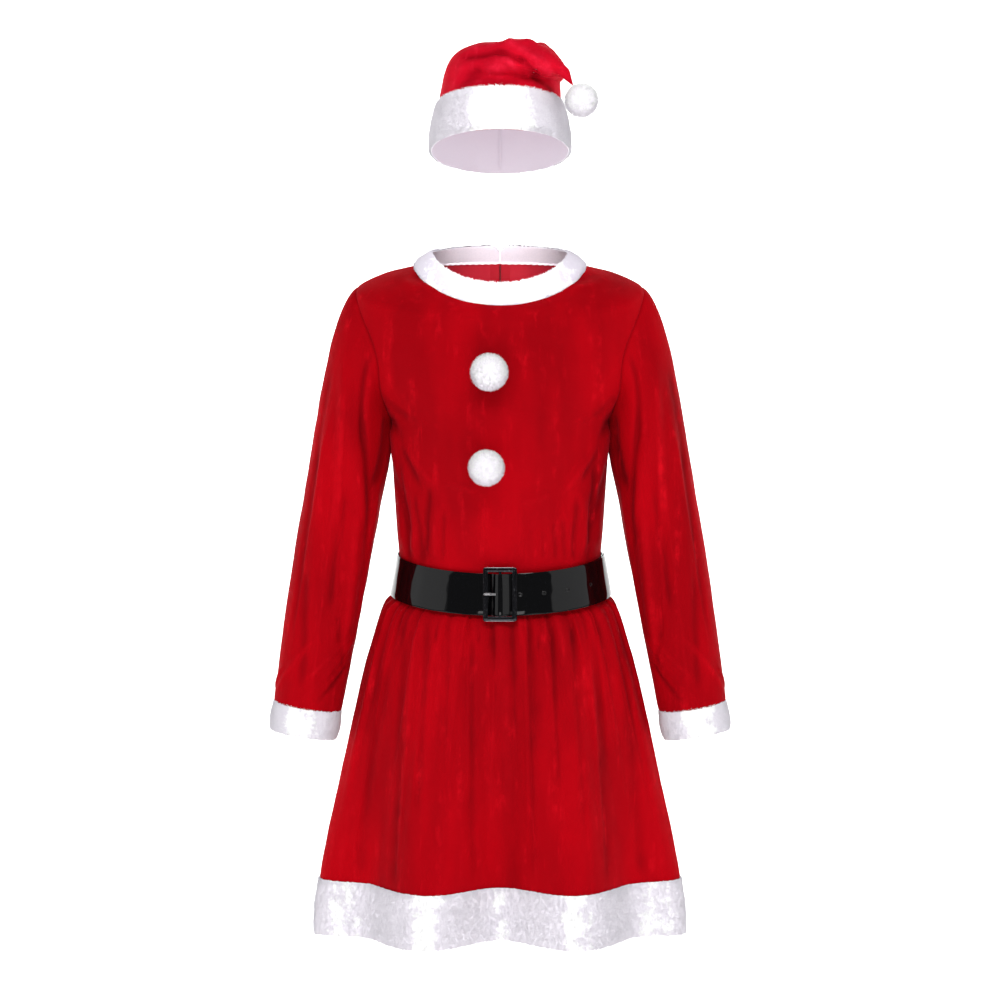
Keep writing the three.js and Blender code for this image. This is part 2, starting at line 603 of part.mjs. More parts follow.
const skirtPanels = skirtPair(skirtDrops);
const hemPanels = skirtPair(hemDrops);
for (const [k, name] of ['front', 'back'].entries()) {
  const { base, normals } = skirtPanels[k];
  addVelvet(`skirt_${name}`, wall(base, moved(base, normals, -VELVET)));
  addPlush(`hem_trim_${name}`, plushBand(hemPanels[k].base, hemPanels[k].normals, HEM_PILE));
}

// Collar: a plush band that goes on from the bodice's neckline, open in a notch at the centre back
const neckRow = bodiceRows.length - 1;
const aroundNeck = (key, i) => [
  ...backLeft[key][i].slice(0, BACK_COLUMNS),
  ...front[key][i],
  ...backRight[key][i].slice(1),
];

function collar() {
  const neckline = aroundNeck('outer', neckRow);
  const below = aroundNeck('outer', neckRow - 1);
  const base = Array.from({ length: COLLAR_ROWS + 1 }, (_, i) => {
    const up = i / COLLAR_ROWS;
    const notch = COLLAR_NOTCH_LOW + (COLLAR_NOTCH_HIGH - COLLAR_NOTCH_LOW) * up ** 6;
    return neckline.map((p, j) => {
      const start = p.clone().addScaledVector(p.clone().sub(below[j]).normalize(), SEAM_GAP);
      const angle = Math.PI * ((2 * j) / (neckline.length - 1) - 1);
      const end = sectionPoint(COLLAR_TOP, angle, COLLAR_TOP.z);
      const point = start.lerp(end, up);
      if (j === 0) point.x = -notch / 2;
      if (j === neckline.length - 1) point.x = notch / 2;
      return point;
    });
  });
  const normals = normalsOf(base, false);
  normals[0] = aroundNeck('normals', neckRow);
  return plushBand(base, normals, COLLAR_PILE, { inside: COLLAR_INSIDE });
}
addPlush('collar', collar());

// Pompoms: a ball of blunt three-sided tufts that part from each other above their roots
function pompom(centre, diameter) {
  const ball = new THREE.IcosahedronGeometry(1, 1);
  const corners = ball.getAttribute('position');
  const points = [];
  const known = new Map();
  const faces = [];
  const index = (p) => {
    const key = p.toArray().map((value) => value.toFixed(4)).join();
    if (!known.has(key)) {
      known.set(key, points.length);
      points.push(p);
    }
    return known.get(key);
  };
  const radius = diameter / 2;
  for (let f = 0; f < corners.count; f += 3) {
    const roots = [0, 1, 2].map((k) => vector(0, 0, 0).fromBufferAttribute(corners, f + k));
    const middle = roots[0].clone().add(roots[1]).add(roots[2]).divideScalar(3).normalize();
    const lean = vector(Math.sin(f * 1.7), Math.sin(f * 2.9), Math.sin(f * 4.1))
      .multiplyScalar(TUFT_LEAN);
    const tipAxis = middle.clone().add(lean).normalize();
    const length = radius * (1 - TUFT_UNEVEN + TUFT_UNEVEN * Math.sin(f * 1.3));
    const low = roots.map((p) => index(p.clone().multiplyScalar(radius * TUFT_ROOT).add(centre)));
    const high = roots.map((p) => index(p.clone().sub(middle).multiplyScalar(TUFT_TIP).add(tipAxis)
      .normalize().multiplyScalar(length).add(centre)));
    faces.push(high);
    for (const [a, b] of [[0, 1], [1, 2], [2, 0]]) {
      faces.push([low[a], low[b], high[b]], [low[a], high[b], high[a]]);
    }
  }
  return closedGeometry(points, faces);
}

function frontPoint(x, z) {
  const row = rowAt(BODICE_SECTIONS, 'z', z);
  const angle = Math.asin(x / row.half);
  const lifted = z + row.dipFront * Math.cos(angle) ** DIP_ROUNDING;
  return sectionPoint(rowAt(BODICE_SECTIONS, 'z', lifted), angle, lifted);
}

for (const { name, x, z, diameter } of CHEST_POMPOMS) {
  const seat = frontPoint(x, z);
  const centre = seat.add(vector(0, -(diameter / 2) - SEAM_GAP, 0));
  addPlush(name, pompom(centre, diameter));
}

// Belt: one strap that starts behind the centre bar, runs round the body, comes back over the bar and
// lies on its own start. Its path is a list of angles and steps out from the ring that fits the waist.
const solids = await Module();
solids.setup();

function toSolid(geometry) {
  const vertProperties = new Float32Array(geometry.getAttribute('position').array);
  const triVerts = new Uint32Array(geometry.getIndex().array);
  return new solids.Manifold(new solids.Mesh({ numProp: 3, vertProperties, triVerts }));
}

function toGeometry(solid) {
  const mesh = solid.getMesh();
  const geometry = new THREE.BufferGeometry();
  geometry.setAttribute('position', new THREE.BufferAttribute(mesh.vertProperties, mesh.numProp));
  geometry.setIndex(new THREE.BufferAttribute(mesh.triVerts, 1));
  return geometry;
}

function beltPoint(angle, height, out) {
  const share = height / BELT_WIDTH;
  const widen = BELT_FLARE * -share + out;
  const row = { ...BELT_RING };
  row.half += widen;
  row.front += widen;
  row.back += widen;
  return sectionPoint(row, angle, BELT_RING.z + height);
}

const beltFrontZ = BELT_RING.z - BELT_RING.dipFront;
const beltRadius = BELT_RING.half;
const tailLayer = STRAP + SEAM_GAP;
const crownOut = BUCKLE.stand + CENTRE_BAR.thick + BULGE_CLEARANCE + STRAP;

// How far the strap's outer face stands off the waist ring as it passes over the centre bar
function strapOut(x) {
  const layer = x > 0 ? tailLayer : 0;
  const bulge = Math.abs(x) < BULGE_REACH ? Math.cos((Math.PI * x) / 2 / BULGE_REACH) ** 2 : 0;
  return layer * (1 - bulge) + crownOut * bulge;
}

function beltStations() {
  const lift = BUCKLE.stand - SEAM_GAP;
  const round = 2 * Math.PI;
  const { end, raised, level, next } = STRAP_START;
  const approach = round - BULGE_END / beltRadius;
  const stations = [
    { angle: end, out: lift },
    { angle: raised, out: lift },
    { angle: level, out: 0 },
  ];
  for (let k = 0; k < BELT_STEPS; k += 1) {
    stations.push({ angle: next + ((approach - next) * k) / BELT_STEPS, out: 0 });
  }
  for (let x = -BULGE_END; x <= BULGE_END; x += BULGE_STEP) {
    stations.push({ angle: round + x / beltRadius, out: strapOut(x) });
  }
  for (let k = 1; k <= TAIL_STEPS; k += 1) {
    const start = BULGE_END / beltRadius;
    const angle = round + start + ((TAIL_TURN - start) * k) / TAIL_STEPS;
    stations.push({ angle, out: tailLayer, taper: k === TAIL_STEPS ? TAIL_TAPER : 1 });
  }
  return stations;
}

// A round punch for a hole in the strap's tail, which reaches no deeper than that layer
function tailPunch(x) {
  const angle = x / beltRadius;
  const place = beltPoint(angle, 0, tailLayer + 2 * SEAM_GAP);
  const deep = 2 * (STRAP + 2 * SEAM_GAP) + PUNCH_PAST;
  const punch = new THREE.CylinderGeometry(HOLE_RADIUS, HOLE_RADIUS, deep, HOLE_SIDES);
  punch.rotateZ(Math.atan2(Math.sin(angle) / BELT_RING.half, Math.cos(angle) / BELT_RING.front));
  punch.translate(place.x, place.y, place.z);
  return punch;
}

function beltStrap() {
  const heights = [BELT_WIDTH / 2, -BELT_WIDTH / 2];
  const stations = beltStations();
  const face = (depth) => heights.map((height) => stations.map(({ angle, out, taper = 1 }) =>
    beltPoint(angle, height * taper, out - depth)));
  const prongHole = new THREE.BoxGeometry(PRONG_HOLE.long, PRONG_HOLE.deep, PRONG.tall + 2 * HOLE_MARGIN);
  prongHole.translate(PRONG_HOLE.x, -PRONG_HOLE.out, 0);
  onBeltFront(prongHole);
  let strap = toSolid(wall(face(0), face(STRAP)));
  for (const tool of [prongHole, ...[1, 2, 3].map((k) => tailPunch(k * HOLE_PITCH + PRONG_HOLE.x))]) {
    strap = strap.subtract(toSolid(merged(tool)));
  }
  return toGeometry(strap);
}

// The same geometry with the corners that meet joined into one point each
function merged(geometry) {
  const position = geometry.getAttribute('position');
  const order = geometry.getIndex() ? [...geometry.getIndex().array] : [...Array(position.count).keys()];
  const known = new Map();
  const points = [];
  const index = order.map((k) => {
    const p = vector(0, 0, 0).fromBufferAttribute(position, k);
    const key = p.toArray().map((value) => value.toFixed(4)).join();
    if (!known.has(key)) {
      known.set(key, points.length);
      points.push(p);
    }
    return known.get(key);
  });
  const faces = [];
  for (let k = 0; k < index.length; k += 3) {
    const [a, b, c] = index.slice(k, k + 3);
    if (a !== b && b !== c && c !== a) faces.push([a, b, c]);
  }
  return closedGeometry(points, faces);
}

// The buckle leans with the strap, whose lower edge stands further out
function onBeltFront(geometry) {
  geometry.translate(0, -BELT_RING.front, 0);
  geometry.rotateX(-Math.atan(BELT_FLARE / BELT_WIDTH));
  const shift = BELT_RING.front * Math.cos(Math.atan(BELT_FLARE / BELT_WIDTH)) - BELT_RING.front;
  const sink = BELT_RING.front * Math.sin(Math.atan(BELT_FLARE / BELT_WIDTH));
  return geometry.translate(0, shift, beltFrontZ - sink);
}

function roundedRectangle(path, wide, tall, corner) {
  const [x, y] = [wide / 2, tall / 2];
  path.moveTo(-x + corner, -y);
  path.lineTo(x - corner, -y);
  path.quadraticCurveTo(x, -y, x, -y + corner);
  path.lineTo(x, y - corner);
  path.quadraticCurveTo(x, y, x - corner, y);
  path.lineTo(-x + corner, y);
  path.quadraticCurveTo(-x, y, -x, y - corner);
  path.lineTo(-x, -y + corner);
  path.quadraticCurveTo(-x, -y, -x + corner, -y);
  return path;
}

function buckleFrame() {
  const { wide, tall, bar, thick, corner, bevel, stand } = BUCKLE;
  const outline = roundedRectangle(new THREE.Shape(), wide, tall, corner);
  outline.holes.push(roundedRectangle(new THREE.Path(), wide - 2 * bar, tall - 2 * bar, corner / 2));
  const ring = new THREE.ExtrudeGeometry(outline, {
    depth: thick - bevel, curveSegments: 2, bevelThickness: bevel, bevelSize: bevel,
    bevelOffset: -bevel, bevelSegments: 1,
  });
  ring.rotateX(Math.PI / 2);
  ring.translate(0, -stand - bevel / 2, 0);
  const centreBar = new THREE.BoxGeometry(CENTRE_BAR.wide, CENTRE_BAR.thick, tall - bar);
  centreBar.translate(0, -stand - CENTRE_BAR.thick / 2, 0);
  return onBeltFront(toGeometry(toSolid(merged(ring)).add(toSolid(merged(centreBar)))));
}

function prong() {
  const { root, rise, tip, point, thick, tall } = PRONG;
  const low = BUCKLE.stand + PRONG.low;
  const high = BUCKLE.stand + BUCKLE.thick + PRONG.high;
  const outline = new THREE.Shape([
    [root, -low], [rise, -high], [tip + point, -high], [tip, -high - thick / 2],
    [tip + point, -high - thick], [rise, -high - thick], [root, -low - thick],
  ].map(([x, y]) => new THREE.Vector2(x, y)));
  const geometry = new THREE.ExtrudeGeometry(outline, { depth: tall, bevelEnabled: false });
  geometry.translate(0, 0, -tall / 2);
  return onBeltFront(merged(geometry));
}

addPatent('belt_strap', beltStrap());
addMetal('buckle_frame', buckleFrame());
addMetal('buckle_prong', prong());

// Zip: its tape lies inside the two back panels, from the neckline to the waist seam
function zipTape() {
  const line = (depth) => bodiceRows.map((_, i) => {
    const normal = backLeft.normals[i][0];
    return [[backLeft, 0, 1], [backRight, BACK_COLUMNS, BACK_COLUMNS - 1]].flatMap(([panel, at, next]) => {
      const edge = panel.inner[i][at].clone();
      const beside = panel.inner[i][next];
      const side = edge.clone().lerp(beside, ZIP_TAPE_WIDTH / 2 / Math.abs(beside.x));
      edge.x = 0;
      const pair = at === 0 ? [side, edge] : [side];
      return pair.map((p) => p.addScaledVector(normal, -SEAM_GAP - depth));
    });
  });
  return wall(line(0), line(ZIP_TAPE));
}
add('zip_tape', zipTape(), 0xa00012, 0.8);

// The slider stands on the closed zip, just under the collar, in a frame that leans with the back
const sliderTop = backRight.outer[neckRow][BACK_COLUMNS];
const sliderFoot = backRight.outer[neckRow - 1][BACK_COLUMNS];
const upBack = sliderTop.clone().sub(sliderFoot).setX(0).normalize();
const offBack = vector(0, upBack.z, -upBack.y);
const sliderSeat = sliderFoot.clone().lerp(sliderTop, SLIDER.level).setX(0);
const backFrame = new THREE.Matrix4().makeBasis(vector(1, 0, 0), offBack, upBack).setPosition(sliderSeat);

function zipSlider() {
  const body = new THREE.BoxGeometry(SLIDER.wide, SLIDER.thick, SLIDER.long);
  body.translate(0, SEAM_GAP + SLIDER.thick / 2, 0);
  const { wall: thick, wide, chamfer } = BRIDGE;
  const foot = SEAM_GAP + SLIDER.thick - BRIDGE.sunk;
  const top = SEAM_GAP + SLIDER.thick + BRIDGE.high;
  const end = BRIDGE.long / 2;
  const outline = new THREE.Shape([
    [-end, foot], [-end, top - chamfer], [-end + chamfer, top],
    [end - chamfer, top], [end, top - chamfer], [end, foot],
    [end - thick, foot], [end - thick, top - thick], [-end + thick, top - thick], [-end + thick, foot],
  ].map(([x, y]) => new THREE.Vector2(x, y)));
  const bridge = new THREE.ExtrudeGeometry(outline, { depth: wide, bevelEnabled: false });
  bridge.translate(0, 0, -wide / 2);
  bridge.rotateY(Math.PI / 2);
  return toGeometry(toSolid(merged(body)).add(toSolid(merged(bridge)))).applyMatrix4(backFrame);
}

// The pull's ring holds the bridge, and it turns about its own crossbar
const pullAxisHeight = SEAM_GAP + SLIDER.thick + (BRIDGE.high - BRIDGE.wall) / 2;
function zipPull() {
  const { wide, thick, ring, long, rim } = PULL;
  const half = wide / 2;
  const bar = thick / 2;
  const outline = new THREE.Shape();
  outline.moveTo(-half, bar);
  outline.lineTo(-half, -long + half);
  outline.absarc(0, -long + half, half, Math.PI, 2 * Math.PI, false);
  outline.lineTo(half, bar);
  const corners = [[-1, -bar], [1, -bar], [1, bar - ring], [-1, bar - ring]];
  outline.holes.push(new THREE.Path(corners.map(([end, y]) => new THREE.Vector2(end * (half - rim), y))));
  const extrusion = { depth: thick, bevelEnabled: false, curveSegments: 5 };
  const geometry = new THREE.ExtrudeGeometry(outline, extrusion);
  geometry.translate(0, 0, -thick / 2);
  geometry.rotateX(Math.PI / 2);
  geometry.translate(0, pullAxisHeight, 0);
  return merged(geometry).applyMatrix4(backFrame);
}
addMetal('zip_slider', zipSlider());
addMetal('zip_pull', zipPull());

// Hat: a plush band round the head, and a velvet crown that folds over towards the right of the front
function hatBandPoint(share, angle, lift = 0) {
  const mix = (key) => HAT_RIM[key] + (HAT_TOP[key] - HAT_RIM[key]) * share;
  return vector(mix('half') * Math.sin(angle), -mix('depth') * Math.cos(angle),
    mix('z') + mix('tilt') * Math.cos(angle) + lift);
}

function hatBand() {
  const base = Array.from({ length: HAT_BAND_ROWS + 1 }, (_, i) =>
    Array.from({ length: HAT_BAND_COLUMNS }, (_, j) =>
      hatBandPoint(i / HAT_BAND_ROWS, (2 * Math.PI * j) / HAT_BAND_COLUMNS)));
  return plushBand(base, normalsOf(base, true), HAT_PILE, { ring: true });
}

function hatCrown() {
  const out = vector(Math.cos(FOLD_TURN), Math.sin(FOLD_TURN), 0);
  const side = vector(-out.y, out.x, 0);
  const pivot = out.clone().multiplyScalar(FOLD_REACH).setZ(FOLD_Z);
  const angles = Array.from({ length: HAT_COLUMNS }, (_, j) => (2 * Math.PI * j) / HAT_COLUMNS);
  const rings = [angles.map((angle) => hatBandPoint(1, angle, SEAM_GAP))];
  const push = [angles.map(() => 0)];
  for (const { turn, near, far, across, slide } of CROWN_SECTIONS) {
    const away = out.clone().multiplyScalar(-Math.cos(degrees(turn))).setZ(Math.sin(degrees(turn)));
    const centre = pivot.clone().addScaledVector(away, (near + far) / 2).addScaledVector(side, slide);
    const onAway = (angle) => -(Math.sin(angle) * out.x - Math.cos(angle) * out.y);
    const onSide = (angle) => Math.sin(angle) * side.x - Math.cos(angle) * side.y;
    rings.push(angles.map((angle) => centre.clone()
      .addScaledVector(away, (onAway(angle) * (far - near)) / 2)
      .addScaledVector(side, onSide(angle) * across)));
    push.push(angles.map((angle) =>
      lineFolds(CROWN_FOLDS, onSide(angle) * across, turn) * Math.max(0, onAway(angle) + FOLD_SHOW)));
  }
  const outer = moved(rings, normalsOf(rings, true), (i, j) => push[i][j]);
  const inner = moved(outer, normalsOf(outer, true), -VELVET);
  inner[0] = moved([outer[0]], [outer[0].map((p) => vector(p.x, p.y, 0).normalize())], -VELVET)[0];
  const tip = vector(CROWN_TIP.x, CROWN_TIP.y, CROWN_TIP.z);
  const lastCentre = outer[outer.length - 1].reduce((sum, p) => sum.addScaledVector(p, 1 / HAT_COLUMNS),
    vector(0, 0, 0));
  const back = lastCentre.sub(tip).normalize();
  return wall(outer, inner, { ring: true, tips: [tip, tip.clone().addScaledVector(back, CROWN_TIP.thick)] });
}

addPlush('hat_band', hatBand());
addVelvet('hat_crown', hatCrown());
addPlush(HAT_POMPOM.name, pompom(vector(HAT_POMPOM.x, HAT_POMPOM.y, HAT_POMPOM.z), HAT_POMPOM.diameter));

export default group;
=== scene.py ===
# %% [markdown]
# # A Christmas costume dress with its belt and its hat
#
# The dress is red velvet with a gathered skirt and white plush trim. A black patent belt goes round it, and a
# velvet hat with a plush band hangs above. Nobody wears it, but it keeps the hollow form of being worn, so every
# cloth piece here is a thin shell: an outer skin, an inner skin and the edge between them. The skins could be
# sculpted or simulated. They are worked out as functions instead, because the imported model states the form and
# each piece has to lie on it.

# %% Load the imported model
import math

import bpy
import numpy as np
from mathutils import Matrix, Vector


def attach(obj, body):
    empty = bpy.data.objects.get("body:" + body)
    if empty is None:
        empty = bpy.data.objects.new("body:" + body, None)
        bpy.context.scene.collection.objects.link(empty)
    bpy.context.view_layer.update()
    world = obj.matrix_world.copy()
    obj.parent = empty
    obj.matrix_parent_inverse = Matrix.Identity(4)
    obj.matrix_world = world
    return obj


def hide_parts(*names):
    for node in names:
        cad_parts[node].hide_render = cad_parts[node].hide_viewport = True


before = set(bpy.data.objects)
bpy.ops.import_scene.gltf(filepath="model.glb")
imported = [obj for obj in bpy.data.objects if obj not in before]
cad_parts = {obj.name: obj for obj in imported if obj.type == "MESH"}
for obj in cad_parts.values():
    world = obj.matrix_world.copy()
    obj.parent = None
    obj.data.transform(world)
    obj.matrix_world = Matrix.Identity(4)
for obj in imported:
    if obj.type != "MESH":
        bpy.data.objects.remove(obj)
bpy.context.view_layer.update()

# %% [markdown]
# ## Camera
#
# The hem's wave and the view into the collar show that the camera stood about three metres away at chest height
# and looked slightly down. A long lens keeps the sleeves and the hem in their true proportions. Most of the look
# down is a tilt of two degrees, and a small shift of the lens does the rest, so that verticals stay upright.

# %% Camera
camera = bpy.data.objects.new("camera", bpy.data.cameras.new("camera"))
bpy.context.scene.collection.objects.link(camera)
camera.location = (0, -3.0, -0.15)
camera.rotation_euler = (math.radians(88), 0, 0)
camera.data.lens = 86.54
camera.data.shift_y = -0.03
bpy.context.scene.camera = camera
print("camera", camera.location[:], "lens", camera.data.lens)

# %% [markdown]
# ## Meshes from grids
#
# A piece of cloth is a grid of points: rows go down it and columns go along it. A shell takes an outer and an
# inner grid of the same size and joins their rims. A grid that runs round a sleeve closes on itself. The grid's
# own position is kept as a UV map in metres, so that another finish, such as a weave, can follow the cloth.

# %% Grid helpers
MM = 0.001


def unit(vectors):
    """Each vector divided by its length."""
    return vectors / np.maximum(np.linalg.norm(vectors, axis=-1, keepdims=True), 1e-12)


def normals_of(points, ring=False):
    """Outward normals: the cross product of the step along a row and the step down a column at each point."""
    along = (np.roll(points, -1, 1) - np.roll(points, 1, 1)) if ring else np.gradient(points, axis=1)
    normals = unit(np.cross(along, np.gradient(points, axis=0)))
    outward = np.sum(normals * (points - points.mean((0, 1))))
    return normals if outward > 0 else -normals


def pushed(points, normals, distance):
    """The grid moved along its normals by a distance at each point."""
    return points + normals * np.broadcast_to(distance, points.shape[:2])[..., None]


def new_piece(name, vertices, faces, uv=None, material=None, sharp=50):
    """A mesh object in metres from points in millimetres, faces and a UV pair for each face corner."""
    mesh = bpy.data.meshes.new(name)
    mesh.from_pydata((vertices * MM).tolist(), [], faces.tolist())
    if uv is not None:
        mesh.uv_layers.new(name="cloth").data.foreach_set("uv", (uv * MM).astype(np.float32).ravel())
    mesh.polygons.foreach_set("use_smooth", np.ones(len(faces), bool))
    mesh.set_sharp_from_angle(angle=math.radians(sharp))
    piece = bpy.data.objects.new(name, mesh)
    bpy.context.scene.collection.objects.link(piece)
    if material:
        mesh.materials.append(material)
    return piece


def facing_out(vertices, faces):
    """The faces, all turned round if the volume that they enclose comes out negative."""
    a, b, c = (vertices[faces[:, k]] for k in (0, 1, 2))
    volume = np.sum(a * np.cross(b, c))
    if faces.shape[1] == 4:
        volume += np.sum(a * np.cross(c, vertices[faces[:, 3]]))
    return (faces, 1) if volume > 0 else (faces[:, ::-1], -1)


print("points are in millimetres,", round(1 / MM), "to the metre")

# %% Cloth shells
def grid_faces(rows, columns, ring):
    """The four corners of every cell of a grid, and the same corners as (column, row) pairs."""
    i, j = np.meshgrid(np.arange(rows - 1), np.arange(columns if ring else columns - 1), indexing="ij")
    i, j = i.ravel(), j.ravel()
    down, over = np.stack([i, i, i + 1, i + 1], 1), np.stack([j, j + 1, j + 1, j], 1)
    return down * columns + over % columns, np.stack([over, down], -1)


def keep_at_points(piece, values):
    """Keeps a value at each point of a mesh, from which its material paints light and shade."""
    kept = piece.data.attributes.new("fold", "FLOAT", "POINT")
    kept.data.foreach_set("value", values.ravel().astype(np.float32))


def shell(name, outer, inner, ring, material, size, lining=None, fold=None):
    """A closed cloth shell: the outer skin, the inner skin and the strips that join their rims.
    size is how wide and how long the cloth is, in millimetres, for its UV map. The inner skin can have a material
    of its own. fold is a value kept at each point of both skins, from which the material paints light and shade: on
    velvet how far the point stands out of the cloth's even surface, for painted shade in creases and painted
    highlights on crests, and on plush how far it faces the lamp, for a painted highlight."""
    rows, columns = outer.shape[:2]
    cells_along = columns if ring else columns - 1
    vertices = np.concatenate([outer.reshape(-1, 3), inner.reshape(-1, 3)])
    skin, corners = grid_faces(rows, columns, ring)
    faces, places = [skin, skin[:, ::-1] + rows * columns], [corners, corners[:, ::-1]]
    rims = [(True, 0, (1, 0)), (True, rows - 1, (0, 1))]
    if not ring:
        rims += [(False, 0, (0, 1)), (False, columns - 1, (1, 0))]
    for is_row, line, order in rims:
        step = np.arange(cells_along if is_row else rows - 1)
        pair = np.stack([step, step + 1], 1)[:, order]
        edge = line * columns + pair % columns if is_row else pair * columns + line
        place = [pair, np.full_like(pair, line)]
        place = np.stack(place if is_row else place[::-1], -1)
        faces.append(np.concatenate([edge, edge[:, ::-1] + rows * columns], 1))
        places.append(np.concatenate([place, place[:, ::-1]], 1))
    faces, turn = facing_out(vertices, np.concatenate(faces))
    scale = np.array([size[0] / cells_along, -size[1] / (rows - 1)])
    uv = np.concatenate(places)[:, ::turn] * scale
    piece = new_piece(name, vertices, faces, uv.reshape(-1, 2), material)
    if lining:
        piece.data.materials.append(lining)
        sides = np.zeros(len(faces), np.int32)
        sides[len(skin):2 * len(skin)] = 1
        piece.data.polygons.foreach_set("material_index", sides)
    if fold is not None:
        keep_at_points(piece, np.tile(np.broadcast_to(fold, outer.shape[:2]).ravel(), 2))
    return piece


def area_of(points, ring=False):
    """The area of a grid in square metres: half the length of the cross product of each cell's diagonals."""
    grid = np.concatenate([points, points[:, :1]], 1) if ring else points
    across = np.cross(grid[1:, 1:] - grid[:-1, :-1], grid[1:, :-1] - grid[:-1, 1:])
    return float(np.linalg.norm(across, axis=-1).sum() / 2 * MM * MM)


square = np.array([[[0, 0, 0], [10, 0, 0]], [[0, 10, 0], [10, 10, 0]]])
print("a square of 10 mm covers", area_of(square), "square metres")


# %% [markdown]
# ## Tables, smooth rows and folds
#
# The form of the dress is a stack of sections, and a short table with named columns gives each one. Between two
# rows a cubic curve keeps the surface smooth. A fold is a soft ridge, or a trough where its height is negative,
# along a given line where the cloth really creases.

# %% Table helpers
def table(names, *rows):
    """A short table as arrays by column name."""
    return dict(zip(names.split(), np.array(rows, float).T))


def cubic(start, end, slope_start, slope_end, t):
    """The cubic curve between two values that has a given slope at each of them."""
    rise = end - start
    return (start + slope_start * t + (3 * rise - 2 * slope_start - slope_end) * t**2
            + (slope_start + slope_end - 2 * rise) * t**3)


def row_at(rows, key, at):
    """Every column at a value of the key: a cubic curve whose slope at a row is that between its neighbours."""
    order = np.argsort(rows[key])
    x = rows[key][order]
    last = len(x) - 1
    at = np.clip(at, x[0], x[-1])
    i = np.clip(np.searchsorted(x, at) - 1, 0, last - 1)
    before, after = np.maximum(np.arange(last + 1) - 1, 0), np.minimum(np.arange(last + 1) + 1, last)
    span = x[i + 1] - x[i]
    result = {}
    for name, column in rows.items():
        y = column[order]
        slope = (y[after] - y[before]) / (x[after] - x[before])
        result[name] = cubic(y[i], y[i + 1], slope[i] * span, slope[i + 1] * span, (at - x[i]) / span)
    return result


def section_point(row, angle, z):
    """A level oval with its own reach to the front and the back, dipped at the centre front and centre back by
    its dip times the cosine to the power 1.25."""
    c = np.cos(angle)
    reach = np.where(c > 0, row["front"], row["back"])
    dip = np.where(c > 0, row["dipFront"], row["dipBack"])
    return np.stack(np.broadcast_arrays(row["half"] * np.sin(angle), -reach * c, z - dip * np.abs(c) ** 1.25), -1)


print("a value half way along a level cubic:", cubic(0, 1, 0, 0, 0.5))


# %% Fold helpers
def ridge(along, across, width, height):
    """A bell across the line and full height along it, fading past both ends over a fifth of its length."""
    past = np.maximum(0, np.maximum(-along, along - 1))
    return height * np.exp(-((across / width) ** 2)) * np.exp(-((past / 0.2) ** 2))


LINE_FOLD = "x0 z0 x1 z1 width height"


def line_folds(folds, x, z):
    """The sum of the ridges along straight lines from (x0, z0) to (x1, z1)."""
    x, z = x[..., None], z[..., None]
    dx, dz = folds["x1"] - folds["x0"], folds["z1"] - folds["z0"]
    length = np.hypot(dx, dz)
    along = ((x - folds["x0"]) * dx + (z - folds["z0"]) * dz) / length**2
    across = ((x - folds["x0"]) * dz - (z - folds["z0"]) * dx) / length
    return ridge(along, across, folds["width"], folds["height"]).sum(-1)


def smoothstep(x, low, high):
    """A ramp from 0 to 1 between two values, level at both ends."""
    t = np.clip((x - low) / (high - low), 0, 1)
    return t * t * (3 - 2 * t)


def ripple(points, size, seed):
    """A smooth, uneven field between about -1 and 1: a sum of eight sine waves in seeded directions."""
    rng = np.random.default_rng(seed)
    waves = unit(rng.normal(size=(8, 3))) * 2 * np.pi / (size * rng.uniform(0.7, 1.6, (8, 1)))
    return np.sin(points @ waves.T + rng.uniform(0, 6.28, 8)).mean(-1) * 1.6


print("a ramp from 0 to 1 is half way up at", smoothstep(0.5, 0, 1))


# %% [markdown]
# ## Finishes that several materials share
#
# Velvet, plush, patent and metal each need colour, roughness and relief that change over the surface. An effect
# is a node group with named inputs, built once and placed in each material with its own values.

# %% Node helpers
def node_group(name, inputs, outputs):
    """An empty shader group with named inputs and outputs. Returns it with its input and output nodes."""
    tree = bpy.data.node_groups.new(name, "ShaderNodeTree")
    for label, kind, value in inputs:
        socket = tree.interface.new_socket(name=label, in_out="INPUT", socket_type=kind)
        socket.default_value = value
    for label, kind in outputs:
        tree.interface.new_socket(name=label, in_out="OUTPUT", socket_type=kind)
    return tree, tree.nodes.new("NodeGroupInput"), tree.nodes.new("NodeGroupOutput")


def put_out(tree, out, **results):
    """Joins each result to the group's output of the same name."""
    for name, value in results.items():
        tree.links.new(value, out.inputs[name])
    return tree


COLOUR, VALUE, PLACE = "NodeSocketColor", "NodeSocketFloat", ("Place", "NodeSocketVector", (0, 0, 0))


def node(tree, kind, links=(), **settings):
    """A node with its settings, whose inputs are given as (input, value or output socket) pairs."""
    made = tree.nodes.new(kind)
    for key, value in settings.items():
        setattr(made, key, value)
    for where, value in links:
        if isinstance(value, bpy.types.NodeSocket):
            tree.links.new(value, made.inputs[where])
        else:
            made.inputs[where].default_value = value
    return made


def maths(tree, operation, a, b=0.0, clamp=False):
    """One sum, product or the like of two values, held between 0 and 1 if it is clamped."""
    return node(tree, "ShaderNodeMath", [(0, a), (1, b)], operation=operation, use_clamp=clamp).outputs[0]


def mix_colour(tree, share, a, b):
    """The first colour where the share is 0, the second where it is 1."""
    return node(tree, "ShaderNodeMix", [(0, share), (6, a), (7, b)], data_type="RGBA").outputs[2]


def noise(tree, place, scale, detail=2.0, roughness=0.5):
    """Uneven values about 0.5, with so many lumps to the metre."""
    return node(tree, "ShaderNodeTexNoise", [("Vector", place), ("Scale", scale), ("Detail", detail),
                                             ("Roughness", roughness)]).outputs["Fac"]


def stretched(tree, place, scale):
    """The place times a scale on each axis, so a pattern is drawn out where the scale is small."""
    return node(tree, "ShaderNodeMapping", [("Vector", place), ("Scale", scale)]).outputs[0]


def ramp(tree, value, low, high):
    """A map from the range low to high onto 0 to 1, held at both ends."""
    return node(tree, "ShaderNodeMapRange", [(0, value), (1, low), (2, high)]).outputs[0]


